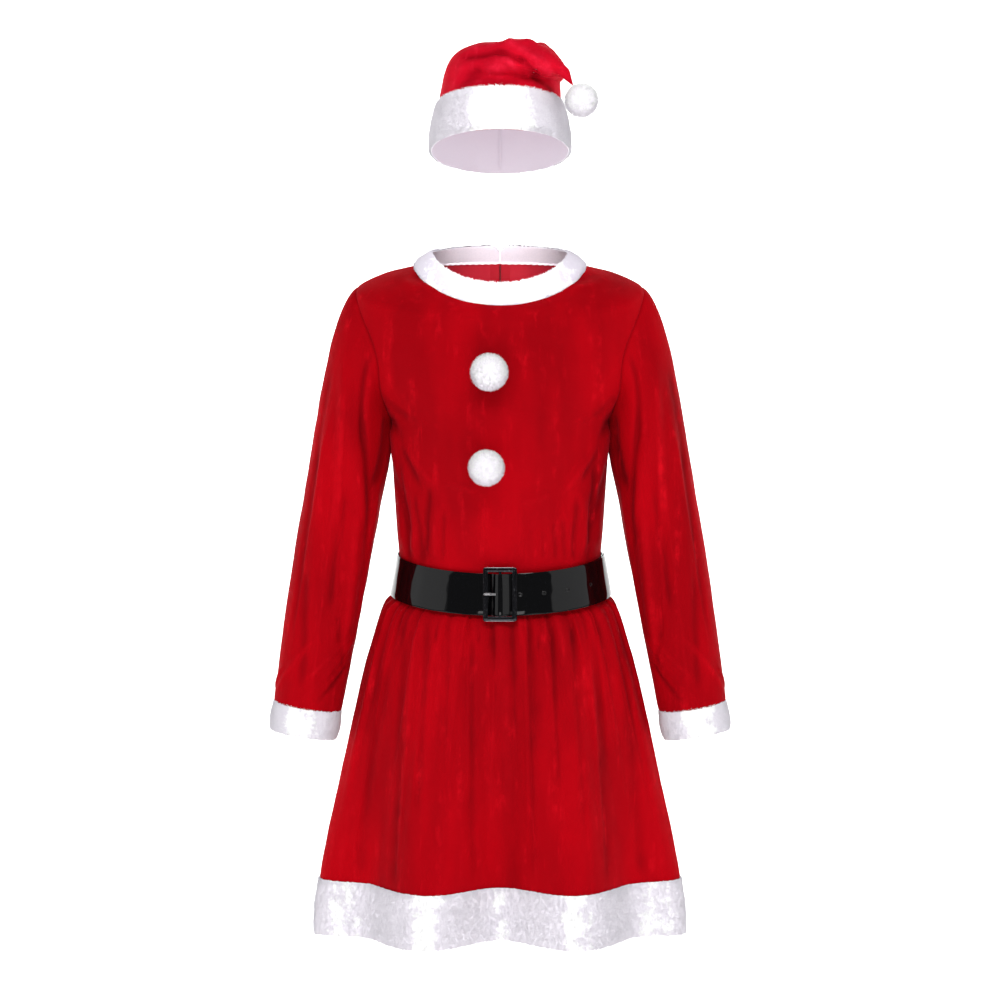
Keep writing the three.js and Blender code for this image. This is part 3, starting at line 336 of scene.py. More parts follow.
def srgb(red, green, blue):
    """A colour as seen on a screen, from 0 to 255, as the linear values that a shader reads."""
    seen = np.array([red, green, blue]) / 255
    linear = np.where(seen <= 0.04045, seen / 12.92, ((seen + 0.055) / 1.055) ** 2.4)
    return (*map(float, linear), 1.0)


print("screen grey 128 is", round(srgb(128, 128, 128)[0], 3), "to a shader")


# %% [markdown]
# The nap of velvet lies one way until a hand or a fold turns it, which leaves long lighter and darker streaks and
# small brushed spots. The colour also carries painted light: painted shade in a crease and a painted highlight on
# a fold's crest, by the depth that the mesh carries at each point. Under all this is the pile itself, a grain finer
# than a millimetre.

# %% Velvet nap group
def make_velvet_nap():
    """Pile colour; towards the Shade colour in broad random patches of darker nap, in the fine grain and, as
    painted shade, in creases; towards the Brushed colour where a long streak meets a spot and, as a painted
    highlight, on crests."""
    tree, given, out = node_group("velvet_nap", [
        ("Pile", COLOUR, srgb(166, 0, 12)), ("Shade", COLOUR, srgb(104, 0, 6)),
        ("Brushed and highlight", COLOUR, srgb(196, 9, 24)), ("Painted shading from", VALUE, 0.0), ("Streaks", VALUE, 1.0),
        ("Grain", VALUE, 1.0), PLACE],
        [("Colour", COLOUR), ("Roughness", VALUE), ("Height", VALUE)])
    place = given.outputs["Place"]
    broad = noise(tree, stretched(tree, place, (1, 1, 0.28)), 16, 3)
    streak = noise(tree, stretched(tree, place, (1, 1, 0.1)), 85, 3, 0.6)
    spot = noise(tree, place, 60, 4, 0.65)
    grain = noise(tree, place, 1900, 2, 0.7)
    # darker nap in broad random patches
    shade = maths(tree, "MULTIPLY", ramp(tree, broad, 0.62, 0.36), 0.45)
    # painted shade: darker where the kept depth puts the cloth in a crease
    crease = maths(tree, "MULTIPLY", ramp(tree, given.outputs["Painted shading from"], -0.2, -2.6), 0.6)
    shade = maths(tree, "ADD", shade, crease, clamp=True)
    colour = mix_colour(tree, shade, given.outputs["Pile"], given.outputs["Shade"])
    brushed_and_highlight = maths(tree, "MULTIPLY", ramp(tree, streak, 0.54, 0.76), ramp(tree, spot, 0.44, 0.68))
    # painted highlight: the lighter colour on crests, where the kept depth stands out of the cloth
    crest = maths(tree, "MULTIPLY", ramp(tree, given.outputs["Painted shading from"], 0.5, 2.6), ramp(tree, spot, 0.3, 0.6))
    brushed_and_highlight = maths(tree, "ADD", maths(tree, "MULTIPLY", brushed_and_highlight, given.outputs["Streaks"]),
                    maths(tree, "MULTIPLY", crest, 0.55), clamp=True)
    colour = mix_colour(tree, brushed_and_highlight, colour, given.outputs["Brushed and highlight"])
    grained = maths(tree, "MULTIPLY", given.outputs["Grain"], 0.3)
    dark = maths(tree, "MULTIPLY", ramp(tree, grain, 0.6, 0.3), grained)
    colour = mix_colour(tree, dark, colour, given.outputs["Shade"])
    rough = maths(tree, "ADD", maths(tree, "MULTIPLY", spot, 0.2), 0.7)
    height = maths(tree, "ADD", maths(tree, "MULTIPLY", grain, given.outputs["Grain"]),
                   maths(tree, "MULTIPLY", streak, 0.8))
    return put_out(tree, out, Colour=colour, Roughness=rough, Height=height)


VELVET_NAP = make_velvet_nap()
print("velvet nap group", len(VELVET_NAP.nodes), "nodes")


# %% [markdown]
# Plush is a white pile of a few millimetres. It is a cool pale lilac, with painted shade between its tufts, and a
# painted highlight turns it pure white in uneven patches where it faces the lamp. How far it faces the lamp is kept
# at each point of the mesh, and noise breaks the patches' edges. The fibres are real geometry, and the group
# colours them too.

# %% Plush group
def make_plush_tufts():
    """Lilac with painted shade between the tufts, and white as a painted highlight where the facing kept at the
    points, plus noise, passes the value from which it burns out."""
    tree, given, out = node_group("plush_tufts", [
        ("White", COLOUR, srgb(255, 255, 255)), ("Lilac", COLOUR, srgb(236, 232, 239)), ("Painted shading from", VALUE, 0.0),
        ("Burnt out from", VALUE, 0.8), ("Tuft size", VALUE, 1.0), PLACE],
        [("Colour", COLOUR), ("Height", VALUE)])
    place = given.outputs["Place"]
    tufts = noise(tree, place, maths(tree, "DIVIDE", 240, given.outputs["Tuft size"]), 3, 0.6)
    broad = noise(tree, place, 52, 3, 0.6)
    uneven = maths(tree, "ADD", maths(tree, "MULTIPLY", maths(tree, "SUBTRACT", broad, 0.5), 0.36),
                   maths(tree, "MULTIPLY", maths(tree, "SUBTRACT", tufts, 0.5), 0.16))
    facing = maths(tree, "ADD", given.outputs["Painted shading from"], uneven)
    # painted highlight: pure white where the facing towards the lamp, plus noise, passes the threshold
    painted_highlight = ramp(tree, maths(tree, "SUBTRACT", facing, given.outputs["Burnt out from"]), 0.0, 0.05)
    # painted shade: a darker lilac between the tufts
    dark = mix_colour(tree, maths(tree, "MULTIPLY", ramp(tree, tufts, 0.55, 0.36), 0.16), given.outputs["Lilac"],
                      srgb(206, 198, 212))
    return put_out(tree, out, Colour=mix_colour(tree, painted_highlight, dark, given.outputs["White"]), Height=tufts)


PLUSH_TUFTS = make_plush_tufts()
print("plush group", len(PLUSH_TUFTS.nodes), "nodes")


# %% [markdown]
# Patent, metal and the zip's teeth all have a slightly uneven gloss: fine scuffs that dull it and a faint wobble
# that bends the reflections.

# %% Gloss group
def make_handled_gloss():
    """The colour and gloss, paler and duller where fine noise passes the scuffs' threshold."""
    tree, given, out = node_group("handled_gloss", [
        ("Colour", COLOUR, (0.1, 0.1, 0.1, 1)), ("Worn", COLOUR, (0.3, 0.3, 0.3, 1)), ("Gloss", VALUE, 0.1),
        ("Scuffs", VALUE, 0.3), ("Wobble", VALUE, 1.0), PLACE],
        [("Colour", COLOUR), ("Roughness", VALUE), ("Height", VALUE)])
    place = given.outputs["Place"]
    scuff = ramp(tree, noise(tree, place, 420, 4, 0.75), 0.57, 0.75)
    scuff = maths(tree, "MULTIPLY", scuff, given.outputs["Scuffs"])
    colour = mix_colour(tree, scuff, given.outputs["Colour"], given.outputs["Worn"])
    rough = maths(tree, "ADD", given.outputs["Gloss"], maths(tree, "MULTIPLY", scuff, 0.35), clamp=True)
    height = maths(tree, "MULTIPLY", noise(tree, place, 38, 1), given.outputs["Wobble"])
    return put_out(tree, out, Colour=colour, Roughness=rough, Height=height)


HANDLED_GLOSS = make_handled_gloss()
print("gloss group", len(HANDLED_GLOSS.nodes), "nodes")


# %% [markdown]
# A material is one Principled shader that takes its colour, roughness and relief from a group. Velvet has a faint
# red sheen and hardly any gloss. Yarn and plush are matt. Patent is black under a thin clear coat.

# %% Material helper
def material(name, group, values, bump, **shader):
    """A shader fed by a group with the given input values and a bump of (strength, distance). The other shader
    values are set on the shader itself."""
    made = bpy.data.materials.new(name)
    made.use_nodes = True
    tree = made.node_tree
    principled = tree.nodes["Principled BSDF"]
    placed = node(tree, "ShaderNodeGroup", node_tree=group)
    tree.links.new(tree.nodes.new("ShaderNodeTexCoord").outputs["Object"], placed.inputs["Place"])
    for label, value in values.items():
        placed.inputs[label].default_value = value
    # The value kept at each point, from which the group paints shade and highlights: a fold's depth on velvet, and
    # on plush how far the surface faces the lamp.
    if "Painted shading from" in placed.inputs:
        depth = node(tree, "ShaderNodeAttribute", attribute_name="fold")
        tree.links.new(depth.outputs["Fac"], placed.inputs["Painted shading from"])
    for given, taken in (("Colour", "Base Color"), ("Roughness", "Roughness")):
        if given in placed.outputs:
            tree.links.new(placed.outputs[given], principled.inputs[taken])
    strength, distance = bump
    relief = node(tree, "ShaderNodeBump", [("Height", placed.outputs["Height"]), ("Strength", strength),
                                           ("Distance", distance)])
    tree.links.new(relief.outputs["Normal"], principled.inputs["Normal"])
    for label, value in shader.items():
        principled.inputs[label.replace("_", " ")].default_value = value
    return made


NAP = {"Sheen_Weight": 0.15, "Sheen_Roughness": 0.4, "Sheen_Tint": (1.0, 0.05, 0.09, 1),
       "Specular_IOR_Level": 0.03}
print("the nap's sheen is", NAP["Sheen_Weight"])

# %% Velvet materials
NAP_BUMP, KNIT_BUMP = (0.35, 0.0006), (0.4, 0.0005)
RED_VELVET = material("red_velvet", VELVET_NAP, {}, NAP_BUMP, **NAP)
HAT_VELVET = material("hat_velvet", VELVET_NAP, {
    "Pile": srgb(200, 10, 36), "Shade": srgb(140, 0, 16), "Brushed and highlight": srgb(226, 34, 62)}, NAP_BUMP, **NAP)
VELVET_REVERSE = material("velvet_reverse", VELVET_NAP, {
    "Pile": srgb(188, 40, 54), "Shade": srgb(152, 22, 36), "Brushed and highlight": srgb(196, 52, 68), "Streaks": 0.3},
    KNIT_BUMP, Specular_IOR_Level=0.08)
HAT_REVERSE = material("hat_reverse", VELVET_NAP, {
    "Pile": srgb(224, 184, 194), "Shade": srgb(208, 162, 174), "Brushed and highlight": srgb(230, 192, 202), "Streaks": 0.3},
    KNIT_BUMP, Specular_IOR_Level=0.08)
RED_TAPE = material("red_tape", VELVET_NAP, {
    "Pile": srgb(176, 24, 40), "Shade": srgb(140, 12, 26), "Brushed and highlight": srgb(184, 34, 50), "Streaks": 0.2},
    (0.5, 0.0005), Specular_IOR_Level=0.2)
print("velvets", [m.name for m in (RED_VELVET, HAT_VELVET, VELVET_REVERSE, HAT_REVERSE, RED_TAPE)])

# %% Plush materials
FIBRE = {"Roughness": 0.95, "Specular_IOR_Level": 0.05}
WHITE_PLUSH = material("white_plush", PLUSH_TUFTS, {}, (0.2, 0.001), Sheen_Weight=0.15, Sheen_Roughness=0.5,
                       **FIBRE)
COLLAR_PLUSH = material("collar_plush", PLUSH_TUFTS, {"Lilac": srgb(226, 221, 231), "Burnt out from": 0.93},
                        (0.35, 0.001), **FIBRE)
POMPOM_YARN = material("pompom_yarn", PLUSH_TUFTS, {"Burnt out from": 0.2}, (0.35, 0.001), **FIBRE)
PLUSH_LINING = material("plush_lining", PLUSH_TUFTS, {
    "White": srgb(220, 217, 224), "Lilac": srgb(214, 207, 217), "Tuft size": 0.5}, (0.3, 0.0006), **FIBRE)
# The collar's lining is a lighter copy of the lining, lighter than the collar's own plush too: painted light, so
# that the inside of the collar, which lies in shade, looks lit.
COLLAR_LINING = material("collar_lining", PLUSH_TUFTS, {
    "White": srgb(252, 246, 250), "Lilac": srgb(248, 236, 244), "Tuft size": 0.5}, (0.3, 0.0006), **FIBRE)
print("plushes", [m.name for m in (WHITE_PLUSH, COLLAR_PLUSH, POMPOM_YARN, PLUSH_LINING, COLLAR_LINING)])

# %% Patent and metal materials
BLACK_PATENT = material("black_patent", HANDLED_GLOSS, {
    "Colour": srgb(4, 4, 5), "Worn": srgb(16, 15, 16), "Gloss": 0.06, "Scuffs": 0.08},
    (0.4, 0.002), Coat_Weight=0.12, Coat_Roughness=0.03, IOR=1.33)
DARK_METAL = material("dark_metal", HANDLED_GLOSS, {
    "Colour": srgb(40, 40, 43), "Worn": srgb(130, 130, 134), "Gloss": 0.14, "Scuffs": 0.5, "Wobble": 0.15},
    (0.2, 0.0008), Metallic=1.0)
BRIGHT_METAL = material("bright_metal", HANDLED_GLOSS, {
    "Colour": srgb(132, 130, 132), "Worn": srgb(100, 100, 104), "Gloss": 0.22, "Scuffs": 0.4, "Wobble": 0.15},
    (0.2, 0.0008), Metallic=1.0)
DARK_COIL = material("dark_coil", HANDLED_GLOSS, {
    "Colour": srgb(96, 4, 14), "Worn": srgb(130, 16, 28), "Gloss": 0.4, "Wobble": 0.1}, (0.1, 0.0003))
print("hard finishes", [m.name for m in (BLACK_PATENT, DARK_METAL, BRIGHT_METAL, DARK_COIL)])

# %% [markdown]
# ## Fibres
#
# The trim's pile and the pompoms are thousands of short fibres. Hair curves would be lost in the exported model,
# so each fibre is a slim spike of three faces. They start on a grid of points and lean a little, each its own way.

# %% Fibre helpers
# LAMP is the direction from which the plush's painted highlights are worked out.
LAMP = unit(np.array([0.0, -0.86, 0.5]))
LEAN, SPILL = 0.16, 0.5


def towards_lamp(normals):
    """How far each normal faces the lamp: 1 straight at it, 0 sideways."""
    return normals @ LAMP


def spikes(name, roots, directions, length, radius, material, facing):
    """Three-sided spikes: three corners on a circle round each root, and a tip at its length along a direction.
    They are lit as the surface that they stand on, whose normals are given, so the pile looks soft."""
    side = unit(np.cross(directions, np.roll(directions, 1, -1) + 0.31))
    other = np.cross(directions, side)
    turns = np.arange(3) * 2 * np.pi / 3
    ring = np.cos(turns)[None, :, None] * side[:, None] + np.sin(turns)[None, :, None] * other[:, None]
    base = roots[:, None] + ring * radius
    tips = roots + directions * length[:, None]
    vertices = np.concatenate([base, tips[:, None]], 1)
    first = 4 * np.arange(len(roots))[:, None]
    faces = np.concatenate([first + np.array([k, (k + 1) % 3, 3]) for k in range(3)])
    piece = new_piece(name, vertices.reshape(-1, 3), faces, None, material, 180)
    bent = unit(facing[:, None] + 0.3 * np.concatenate([ring, directions[:, None]], 1))
    piece.data.normals_split_custom_set_from_vertices(bent.reshape(-1, 3).tolist())
    # how far the surface under each fibre faces the lamp, kept for the painted highlight
    keep_at_points(piece, np.repeat(towards_lamp(facing), 4))
    return piece


def pile(name, points, normals, spacing, length, seed, ring=False, material=WHITE_PLUSH):
    """Fibres scattered evenly over a grid: cells are drawn by their area, and a fibre's root is blended from the
    cell's corners. They lean by a broad ripple, so that they part into tufts, and a little at random. Beside the
    grid's first and last row they lean out and spill over the edge."""
    if ring:
        points, normals = (np.concatenate([g, g[:, :1]], 1) for g in (points, normals))
    rng = np.random.default_rng(seed)
    diagonals = points[1:, 1:] - points[:-1, :-1], points[1:, :-1] - points[:-1, 1:]
    areas = np.linalg.norm(np.cross(*diagonals), axis=-1)
    count = int(areas.sum() / 2 / spacing**2)
    cell = np.searchsorted(np.cumsum(areas.ravel()) / areas.sum(), rng.random(count))
    i, j = np.divmod(np.minimum(cell, areas.size - 1), areas.shape[1])
    u, v = rng.random((2, count, 1))

    def blend(grid):
        """A value at the place (u, v) in a cell, from the cell's four corners."""
        return (grid[i, j] * (1 - u) * (1 - v) + grid[i, j + 1] * u * (1 - v)
                + grid[i + 1, j] * (1 - u) * v + grid[i + 1, j + 1] * u * v)

    root, normal = blend(points), unit(blend(normals))
    down = unit(points[i + 1, j] - points[i, j])
    share = (i[:, None] + v) / (len(points) - 1)
    edge = smoothstep(share, 0.8, 1) - smoothstep(share, 0.2, 0)
    parting = np.stack([ripple(root, 7, seed + k) for k in (1, 2, 3)], -1)
    direction = unit(normal + SPILL * edge * down + LEAN * (parting + 0.8 * rng.normal(size=(count, 3))))
    reach = length * rng.uniform(0.7, 1.15, count) * (1 + 0.5 * SPILL * np.abs(edge[:, 0]))
    return spikes(name, root - normal * 0.3, direction, reach, 0.62 * spacing, material, normal)


print("the lamp is towards", LAMP.round(2))


# %% Putting pieces on
def wear(slot, *pieces, body="garment"):
    """The pieces move with a body of the model. The slot is not used."""
    for piece in pieces:
        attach(piece, body)


def cloth(piece, replaced, area, slot, with_pieces=()):
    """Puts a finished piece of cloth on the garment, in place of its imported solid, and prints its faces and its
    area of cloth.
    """
    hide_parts(replaced)
    wear(slot, piece, *with_pieces)
    print(f"{piece.name}: {len(piece.data.polygons)} faces, {area:.4f} square metres of cloth")


# %% [markdown]
# ## Bodice
#
# The front is one panel and the back is two, which meet at the zip. A panel could be cut flat and draped by the
# Cloth modifier. Here it is a stack of ovals instead, so that it meets the sleeves, belt and collar exactly. Its
# rows run from the waist to the neckline. Between the underarm and the shoulder they stop at the armhole.

# %% Bodice sections
SEAM_GAP, WAIST_GAP, VELVET = 0.3, 0.8, 1.8
UNDERARM_Z, SHOULDER_Z, WAIST_Z, HEM_SEAM_Z = -190, -25, -392, -765
BODICE = table(
    "z half front back dipFront dipBack",
    (-392, 129.0, 95, 82, 18, -16), (-376, 125.8, 93, 80, 17, -15), (-358, 126.1, 94, 80.5, 16, -14),
    (-325, 128.8, 101, 84, 13, -10), (-285, 131.5, 109, 90, 9, -7), (-240, 134.5, 116, 96, 5, -4),
    (-212, 136.0, 117, 98, 3, -2), (-190, 137.0, 116, 99, 4, 0), (-150, 163.0, 111, 98, 8, 4),
    (-110, 176.0, 105, 96, 18, 10), (-70, 182.0, 98, 90, 30, 15), (-42, 182.0, 93, 84, 39, 17),
    (-25, 176.0, 89, 79, 44, 17), (-8, 141.0, 82, 71, 49, 8), (0, 107.0, 75, 62, 52, -6))
print("bodice", len(BODICE["z"]), "sections")

# %% Bodice folds and creases
FRONT_FOLDS = table(
    LINE_FOLD,
    (139, -205, 92, -262, 8, 2.6), (136, -232, 88, -312, 9, 2.4), (146, -165, 100, -190, 8, 2),
    (106, -345, 98, -290, 6, 2.6), (84, -352, 76, -300, 6, 2.2), (122, -336, 121, -292, 5, 2),
    (126, -16, 108, -30, 5, 1.6))
BACK_FOLDS = table(
    LINE_FOLD,
    (138, -210, 84, -250, 9, 2.4), (134, -250, 80, -322, 9, 2.2), (100, -326, 92, -276, 6, 2.4),
    (62, -322, 54, -270, 6, 2.2))
FRONT_CREASES = table(
    LINE_FOLD,
    (-121, -262, -112, -352, 3.5, -2.4), (-100, -296, -96, -354, 3, -1.8), (-86, -286, -90, -352, 3.2, -2.2),
    (-68, -312, -70, -354, 3, -1.6), (-78, -322, -79, -354, 3, 1.2), (-106, -300, -104, -354, 3, 1.4),
    (76, -318, 79, -354, 2.8, -1.6), (92, -298, 90, -354, 3.2, -2.2), (104, -306, 100, -354, 3, 1.4),
    (114, -262, 108, -350, 3.6, -2.4), (66, -322, 68, -354, 3, -1.4), (52, -330, 53, -354, 3, -1.0),
    (-108, -12, -86, -20, 3, -1.8), (-112, -22, -84, -31, 3.4, 1.6), (110, -13, 88, -21, 3, -1.8),
    (113, -24, 86, -32, 3.2, 1.5), (-130, -198, -104, -256, 4.5, -2.4), (132, -196, 106, -252, 4.5, -2.3),
    (-122, -216, -86, -262, 4, 1.4), (122, -218, 84, -270, 4, 1.3), (-134, -246, -112, -318, 4, -1.8),
    (133, -244, 116, -310, 4, -1.8), (-60, -268, -34, -276, 5, 1.2), (30, -290, 56, -284, 5, 1.1),
    (-20, -300, -22, -352, 5, 1.0), (24, -306, 25, -352, 5, 0.9), (-138, -168, -116, -186, 5, -1.4),
    (138, -166, 118, -184, 5, -1.4))
BACK_CREASES = table(
    LINE_FOLD,
    (-112, -280, -106, -352, 3.6, -1.5), (-78, -304, -76, -354, 3.2, -1.4), (-44, -316, -44, -354, 3, -1.1),
    (82, -300, 78, -354, 3.2, -1.4), (114, -276, 110, -350, 3.6, -1.5), (46, -318, 46, -354, 3, -1.0),
    (-126, -204, -100, -244, 4, -1.5), (128, -206, 102, -246, 4, -1.4), (30, -80, 66, -96, 6, 0.9))
print("front creases", len(FRONT_CREASES["x0"]), "back creases", len(BACK_CREASES["x0"]))

# %% Bodice panels
UNDERARM_ROW, ARMHOLE_ROWS, SHOULDER_ROWS = 63, 72, 10
ARMHOLE_SHARES = (1 - np.cos(np.pi * np.arange(ARMHOLE_ROWS + 1) / ARMHOLE_ROWS)) / 2
BODICE_Z = np.concatenate([np.linspace(WAIST_Z, UNDERARM_Z, UNDERARM_ROW + 1)[:-1],
                           UNDERARM_Z + (SHOULDER_Z - UNDERARM_Z) * ARMHOLE_SHARES,
                           np.linspace(SHOULDER_Z, 0, SHOULDER_ROWS + 1)[1:]])
SHOULDER_ROW, NECK_ROW = UNDERARM_ROW + ARMHOLE_ROWS, len(BODICE_Z) - 1


def armhole_angle(z):
    """The edge's angle from the centre: 90 degrees, cut back by up to 31 between underarm and shoulder."""
    share = np.clip((z - UNDERARM_Z) / (SHOULDER_Z - UNDERARM_Z), 0, 1)
    return np.radians(90 - 31 * np.sin(np.pi * share) ** 0.6)


def bodice_panel(left, right, columns, back):
    """Ovals at each height, from one share of the way to the side edge to another. The points on the back are
    the front's mirrored over the side seams."""
    row = {name: column[:, None] for name, column in row_at(BODICE, "z", BODICE_Z).items()}
    trim = SEAM_GAP / 2 / row["half"]
    share = np.linspace(left, right, columns + 1)[None]
    angle = share * (armhole_angle(BODICE_Z)[:, None] - trim)
    angle = angle + np.where(share == 0, trim * np.sign(left + right), 0)
    points = section_point(row, np.pi - angle if back else angle, BODICE_Z[:, None])
    points[0, :, 2] += WAIST_GAP / 2
    to_seam = np.minimum(1 - np.abs(share), 1 if left * right < 0 else np.abs(share)) * np.ones_like(angle)
    return {"base": points, "normals": normals_of(points), "to_seam": to_seam, "half": row["half"], "back": back}


def share_seam(a, column_a, b, column_b, rows):
    """Two panels get the same normals along the seam where they meet."""
    mean = unit(a["normals"][rows, column_a] + b["normals"][rows, column_b])
    a["normals"][rows, column_a] = b["normals"][rows, column_b] = mean


print("bodice rows", len(BODICE_Z), "with the underarm at row", UNDERARM_ROW)

# %% Bodice pieces
BELT_TOP, ABOVE_BELT = -356, -338


def fold_bodice(panel):
    """The panel with its folds, which fade out at its seams, and a narrow dip where the seam pulls it in."""
    base, to_seam = panel["base"], panel["to_seam"]
    folds, creases = (BACK_FOLDS, BACK_CREASES) if panel["back"] else (FRONT_FOLDS, FRONT_CREASES)
    x, z = base[..., 0], base[..., 2]
    crease = line_folds(creases, x, z)
    relief = line_folds(folds, np.abs(x), z) + crease + 0.5 * ripple(base, 36, 3)
    off_belt = smoothstep(BODICE_Z, BELT_TOP, ABOVE_BELT)[:, None]
    relief *= smoothstep(to_seam, 0, 0.12) * (0.15 + 0.85 * off_belt)
    seam = -0.9 * np.exp(-((to_seam * panel["half"] * 1.35 / 2.0) ** 2))
    # The depth kept for painted light: painted shade in the creases and along the seams, painted highlights on the
    # creases' ridges.
    panel["fold"] = crease * smoothstep(to_seam, 0, 0.06) + 1.6 * seam
    panel["outer"] = pushed(base, panel["normals"], relief + seam)
    panel["inner"] = pushed(panel["outer"], panel["normals"], -VELVET)


FRONT_COLUMNS, BACK_COLUMNS = 132, 60
front = bodice_panel(-1, 1, FRONT_COLUMNS, False)
back_right = bodice_panel(1, 0, BACK_COLUMNS, True)
back_left = bodice_panel(0, -1, BACK_COLUMNS, True)
seam_rows = np.r_[0:UNDERARM_ROW + 1, SHOULDER_ROW:NECK_ROW + 1]
share_seam(front, FRONT_COLUMNS, back_right, 0, seam_rows)
share_seam(front, 0, back_left, BACK_COLUMNS, seam_rows)
share_seam(back_right, BACK_COLUMNS, back_left, 0, np.arange(NECK_ROW + 1))
for name, panel, wide, flat, rests_on in (
        ("bodice_front", front, 400, (0.42, 0.40), "skirt_front"),
        ("bodice_back_right", back_right, 190, (0.21, 0.42), "skirt_back"),
        ("bodice_back_left", back_left, 190, (0.21, 0.42), "skirt_back")):
    fold_bodice(panel)
    piece = shell(f"velvet_{name}", panel["outer"], panel["inner"], False, RED_VELVET, (wide, -WAIST_Z),
                  VELVET_REVERSE, panel["fold"])
    cloth(piece, name, area_of(panel["outer"]), "velvet")

# %% [markdown]
# ## Sleeves and cuffs
#
# A set-in sleeve starts at the armhole, rises a little over the shoulder and hangs down with a slight bend. Its
# first rings are cubic curves from the armhole's edge to the arm's first oval. The creases run round it and along
# it, so they are placed by the turn round the arm (0 is the inner side, 90 the front) and by the height.

# %% Sleeve sections
CAP_END_Z, WRIST_Z, CUFF_END_Z = -254.0, -547, -581
SLEEVE = table(
    "z x y half depth",
    (-254, 190.6, -2, 48, 60), (-294, 196.9, -5, 48, 57), (-344, 205.6, -9, 48, 53), (-394, 214.2, -13, 47, 49),
    (-444, 222.4, -17, 46, 46), (-494, 230.4, -21, 44.4, 42), (-547, 239, -25, 42.6, 39),
    (-581, 244.5, -28, 42, 38.5))
SLEEVE_TILT = math.radians(9.4)
print("sleeve", len(SLEEVE["z"]), "sections")

# %% Sleeve folds and creases
SLEEVE_FOLDS = table(
    "turn0 z0 turn1 z1 width height",
    (118, -150, 52, -300, 9, 3.2), (64, -250, 40, -420, 8, 2.8), (128, -230, 112, -390, 9, 2.4),
    (30, -470, 92, -530, 7, 2.8), (150, -500, 172, -520, 6, 2.2), (250, -180, 310, -300, 9, 2.8),
    (300, -330, 250, -440, 9, 2.4))
SLEEVE_CREASES = table(
    "turn0 z0 turn1 z1 width height",
    (98, -108, 70, -208, 5, -2.2), (70, -208, 38, -330, 5, -2.2), (84, -300, 78, -400, 5, -1.9),
    (20, -200, 34, -262, 8, -3.4), (24, -300, 16, -420, 6, 2.0), (140, -260, 132, -420, 6, -1.9),
    (112, -180, 92, -300, 6, 1.8), (60, -330, 44, -450, 6, 1.6), (120, -400, 104, -500, 6, -1.7),
    (30, -500, 70, -536, 5, -2.6), (104, -470, 150, -520, 6, 1.8), (44, -466, 84, -500, 5, 1.7),
    (60, -440, 40, -486, 5, -1.6), (262, -220, 300, -330, 6, -1.9), (230, -360, 250, -470, 6, -1.6),
    (200, -500, 240, -530, 6, 1.6), (150, -150, 140, -240, 6, -1.5), (102, -212, 70, -410, 2.4, 1.5),
    (128, -230, 129, -430, 2.4, 1.3), (96, -330, 84, -520, 2.2, 1.2))
print("sleeve creases", len(SLEEVE_CREASES["z0"]))

# %% Sleeve points
def sleeve_point(side, z, turn, out=0.0):
    """An oval round the arm's line, tilted with it. The turn runs from its inner side over the front."""
    row = row_at(SLEEVE, "z", z)
    across = -(row["half"] + out) * np.cos(turn)
    x = side * (row["x"] + across * math.cos(SLEEVE_TILT))
    y = row["y"] - (row["depth"] + out) * np.sin(turn)
    return np.stack(np.broadcast_arrays(x, y, z + across * math.sin(SLEEVE_TILT)), -1)


def armhole_ring(side, skin):
    """The armhole's edge once round, a seam's gap outside the panels: up the front and down the back. The way
    out of a panel is the step to its edge from four columns further in."""
    edge, inside = (FRONT_COLUMNS, FRONT_COLUMNS - 4) if side > 0 else (0, 4)
    back, back_edge, back_inside = (back_right, 0, 4) if side > 0 else (back_left, BACK_COLUMNS, BACK_COLUMNS - 4)

    def beside(panel, rows, at, near):
        """The panel's edge, moved out by the seam's gap."""
        point = panel[skin][rows, at]
        return point + unit(point - panel[skin][rows, near]) * SEAM_GAP

    def middle(row, dx, dz):
        """The point midway between the front's edge and the back's, where they meet in a side or shoulder seam."""
        return ((front[skin][row, edge] + back[skin][row, back_edge]) / 2 + np.array([side * dx, 0, dz]))[None]

    rows = np.arange(UNDERARM_ROW + 1, SHOULDER_ROW)
    return np.concatenate([middle(UNDERARM_ROW, 0.1, SEAM_GAP), beside(front, rows, edge, inside),
                           middle(SHOULDER_ROW, SEAM_GAP, 0), beside(back, rows[::-1], back_edge, back_inside)])


print("the armhole has", len(armhole_ring(1, "outer")), "points")

# %% Sleeve relief
CAP_ROWS = 46
UNDERARM_FOLD_Z, UNDERARM_FOLD = -202, 6.6
SLEEVE_Z = np.linspace(CAP_END_Z, WRIST_Z, 96)[1:]
SLEEVE_TURNS = np.pi * np.concatenate([ARMHOLE_SHARES[:-1], 2 - ARMHOLE_SHARES[:0:-1]])


def sleeve_relief(folds, turn, z):
    """The sum of the ridges along lines of turn and height, whose width is in degrees."""
    degrees, z = np.degrees(turn)[..., None], z[..., None]
    along = (z - folds["z0"]) / (folds["z1"] - folds["z0"])
    bend = folds["turn0"] + (folds["turn1"] - folds["turn0"]) * np.clip(along, -0.3, 1.3)
    return ridge(along, degrees - bend, folds["width"] * 1.15, folds["height"]).sum(-1)


def underarm_fold(turn, z, rows):
    """The loose cloth under the arm, which rests against the bodice: a bell round the inner side, and down the
    arm a bell that is longer below its middle than above it."""
    from_inside = np.degrees(np.abs((turn + np.pi) % (2 * np.pi) - np.pi))
    reach = np.where(z > UNDERARM_FOLD_Z, 26, 56)
    bells = np.exp(-((from_inside / 30) ** 2)) * np.exp(-(((z - UNDERARM_FOLD_Z) / reach) ** 2))
    return UNDERARM_FOLD * bells * smoothstep(rows, 0, 4)


print("a sleeve has", CAP_ROWS + len(SLEEVE_Z) + 1, "rings of", len(SLEEVE_TURNS), "points")


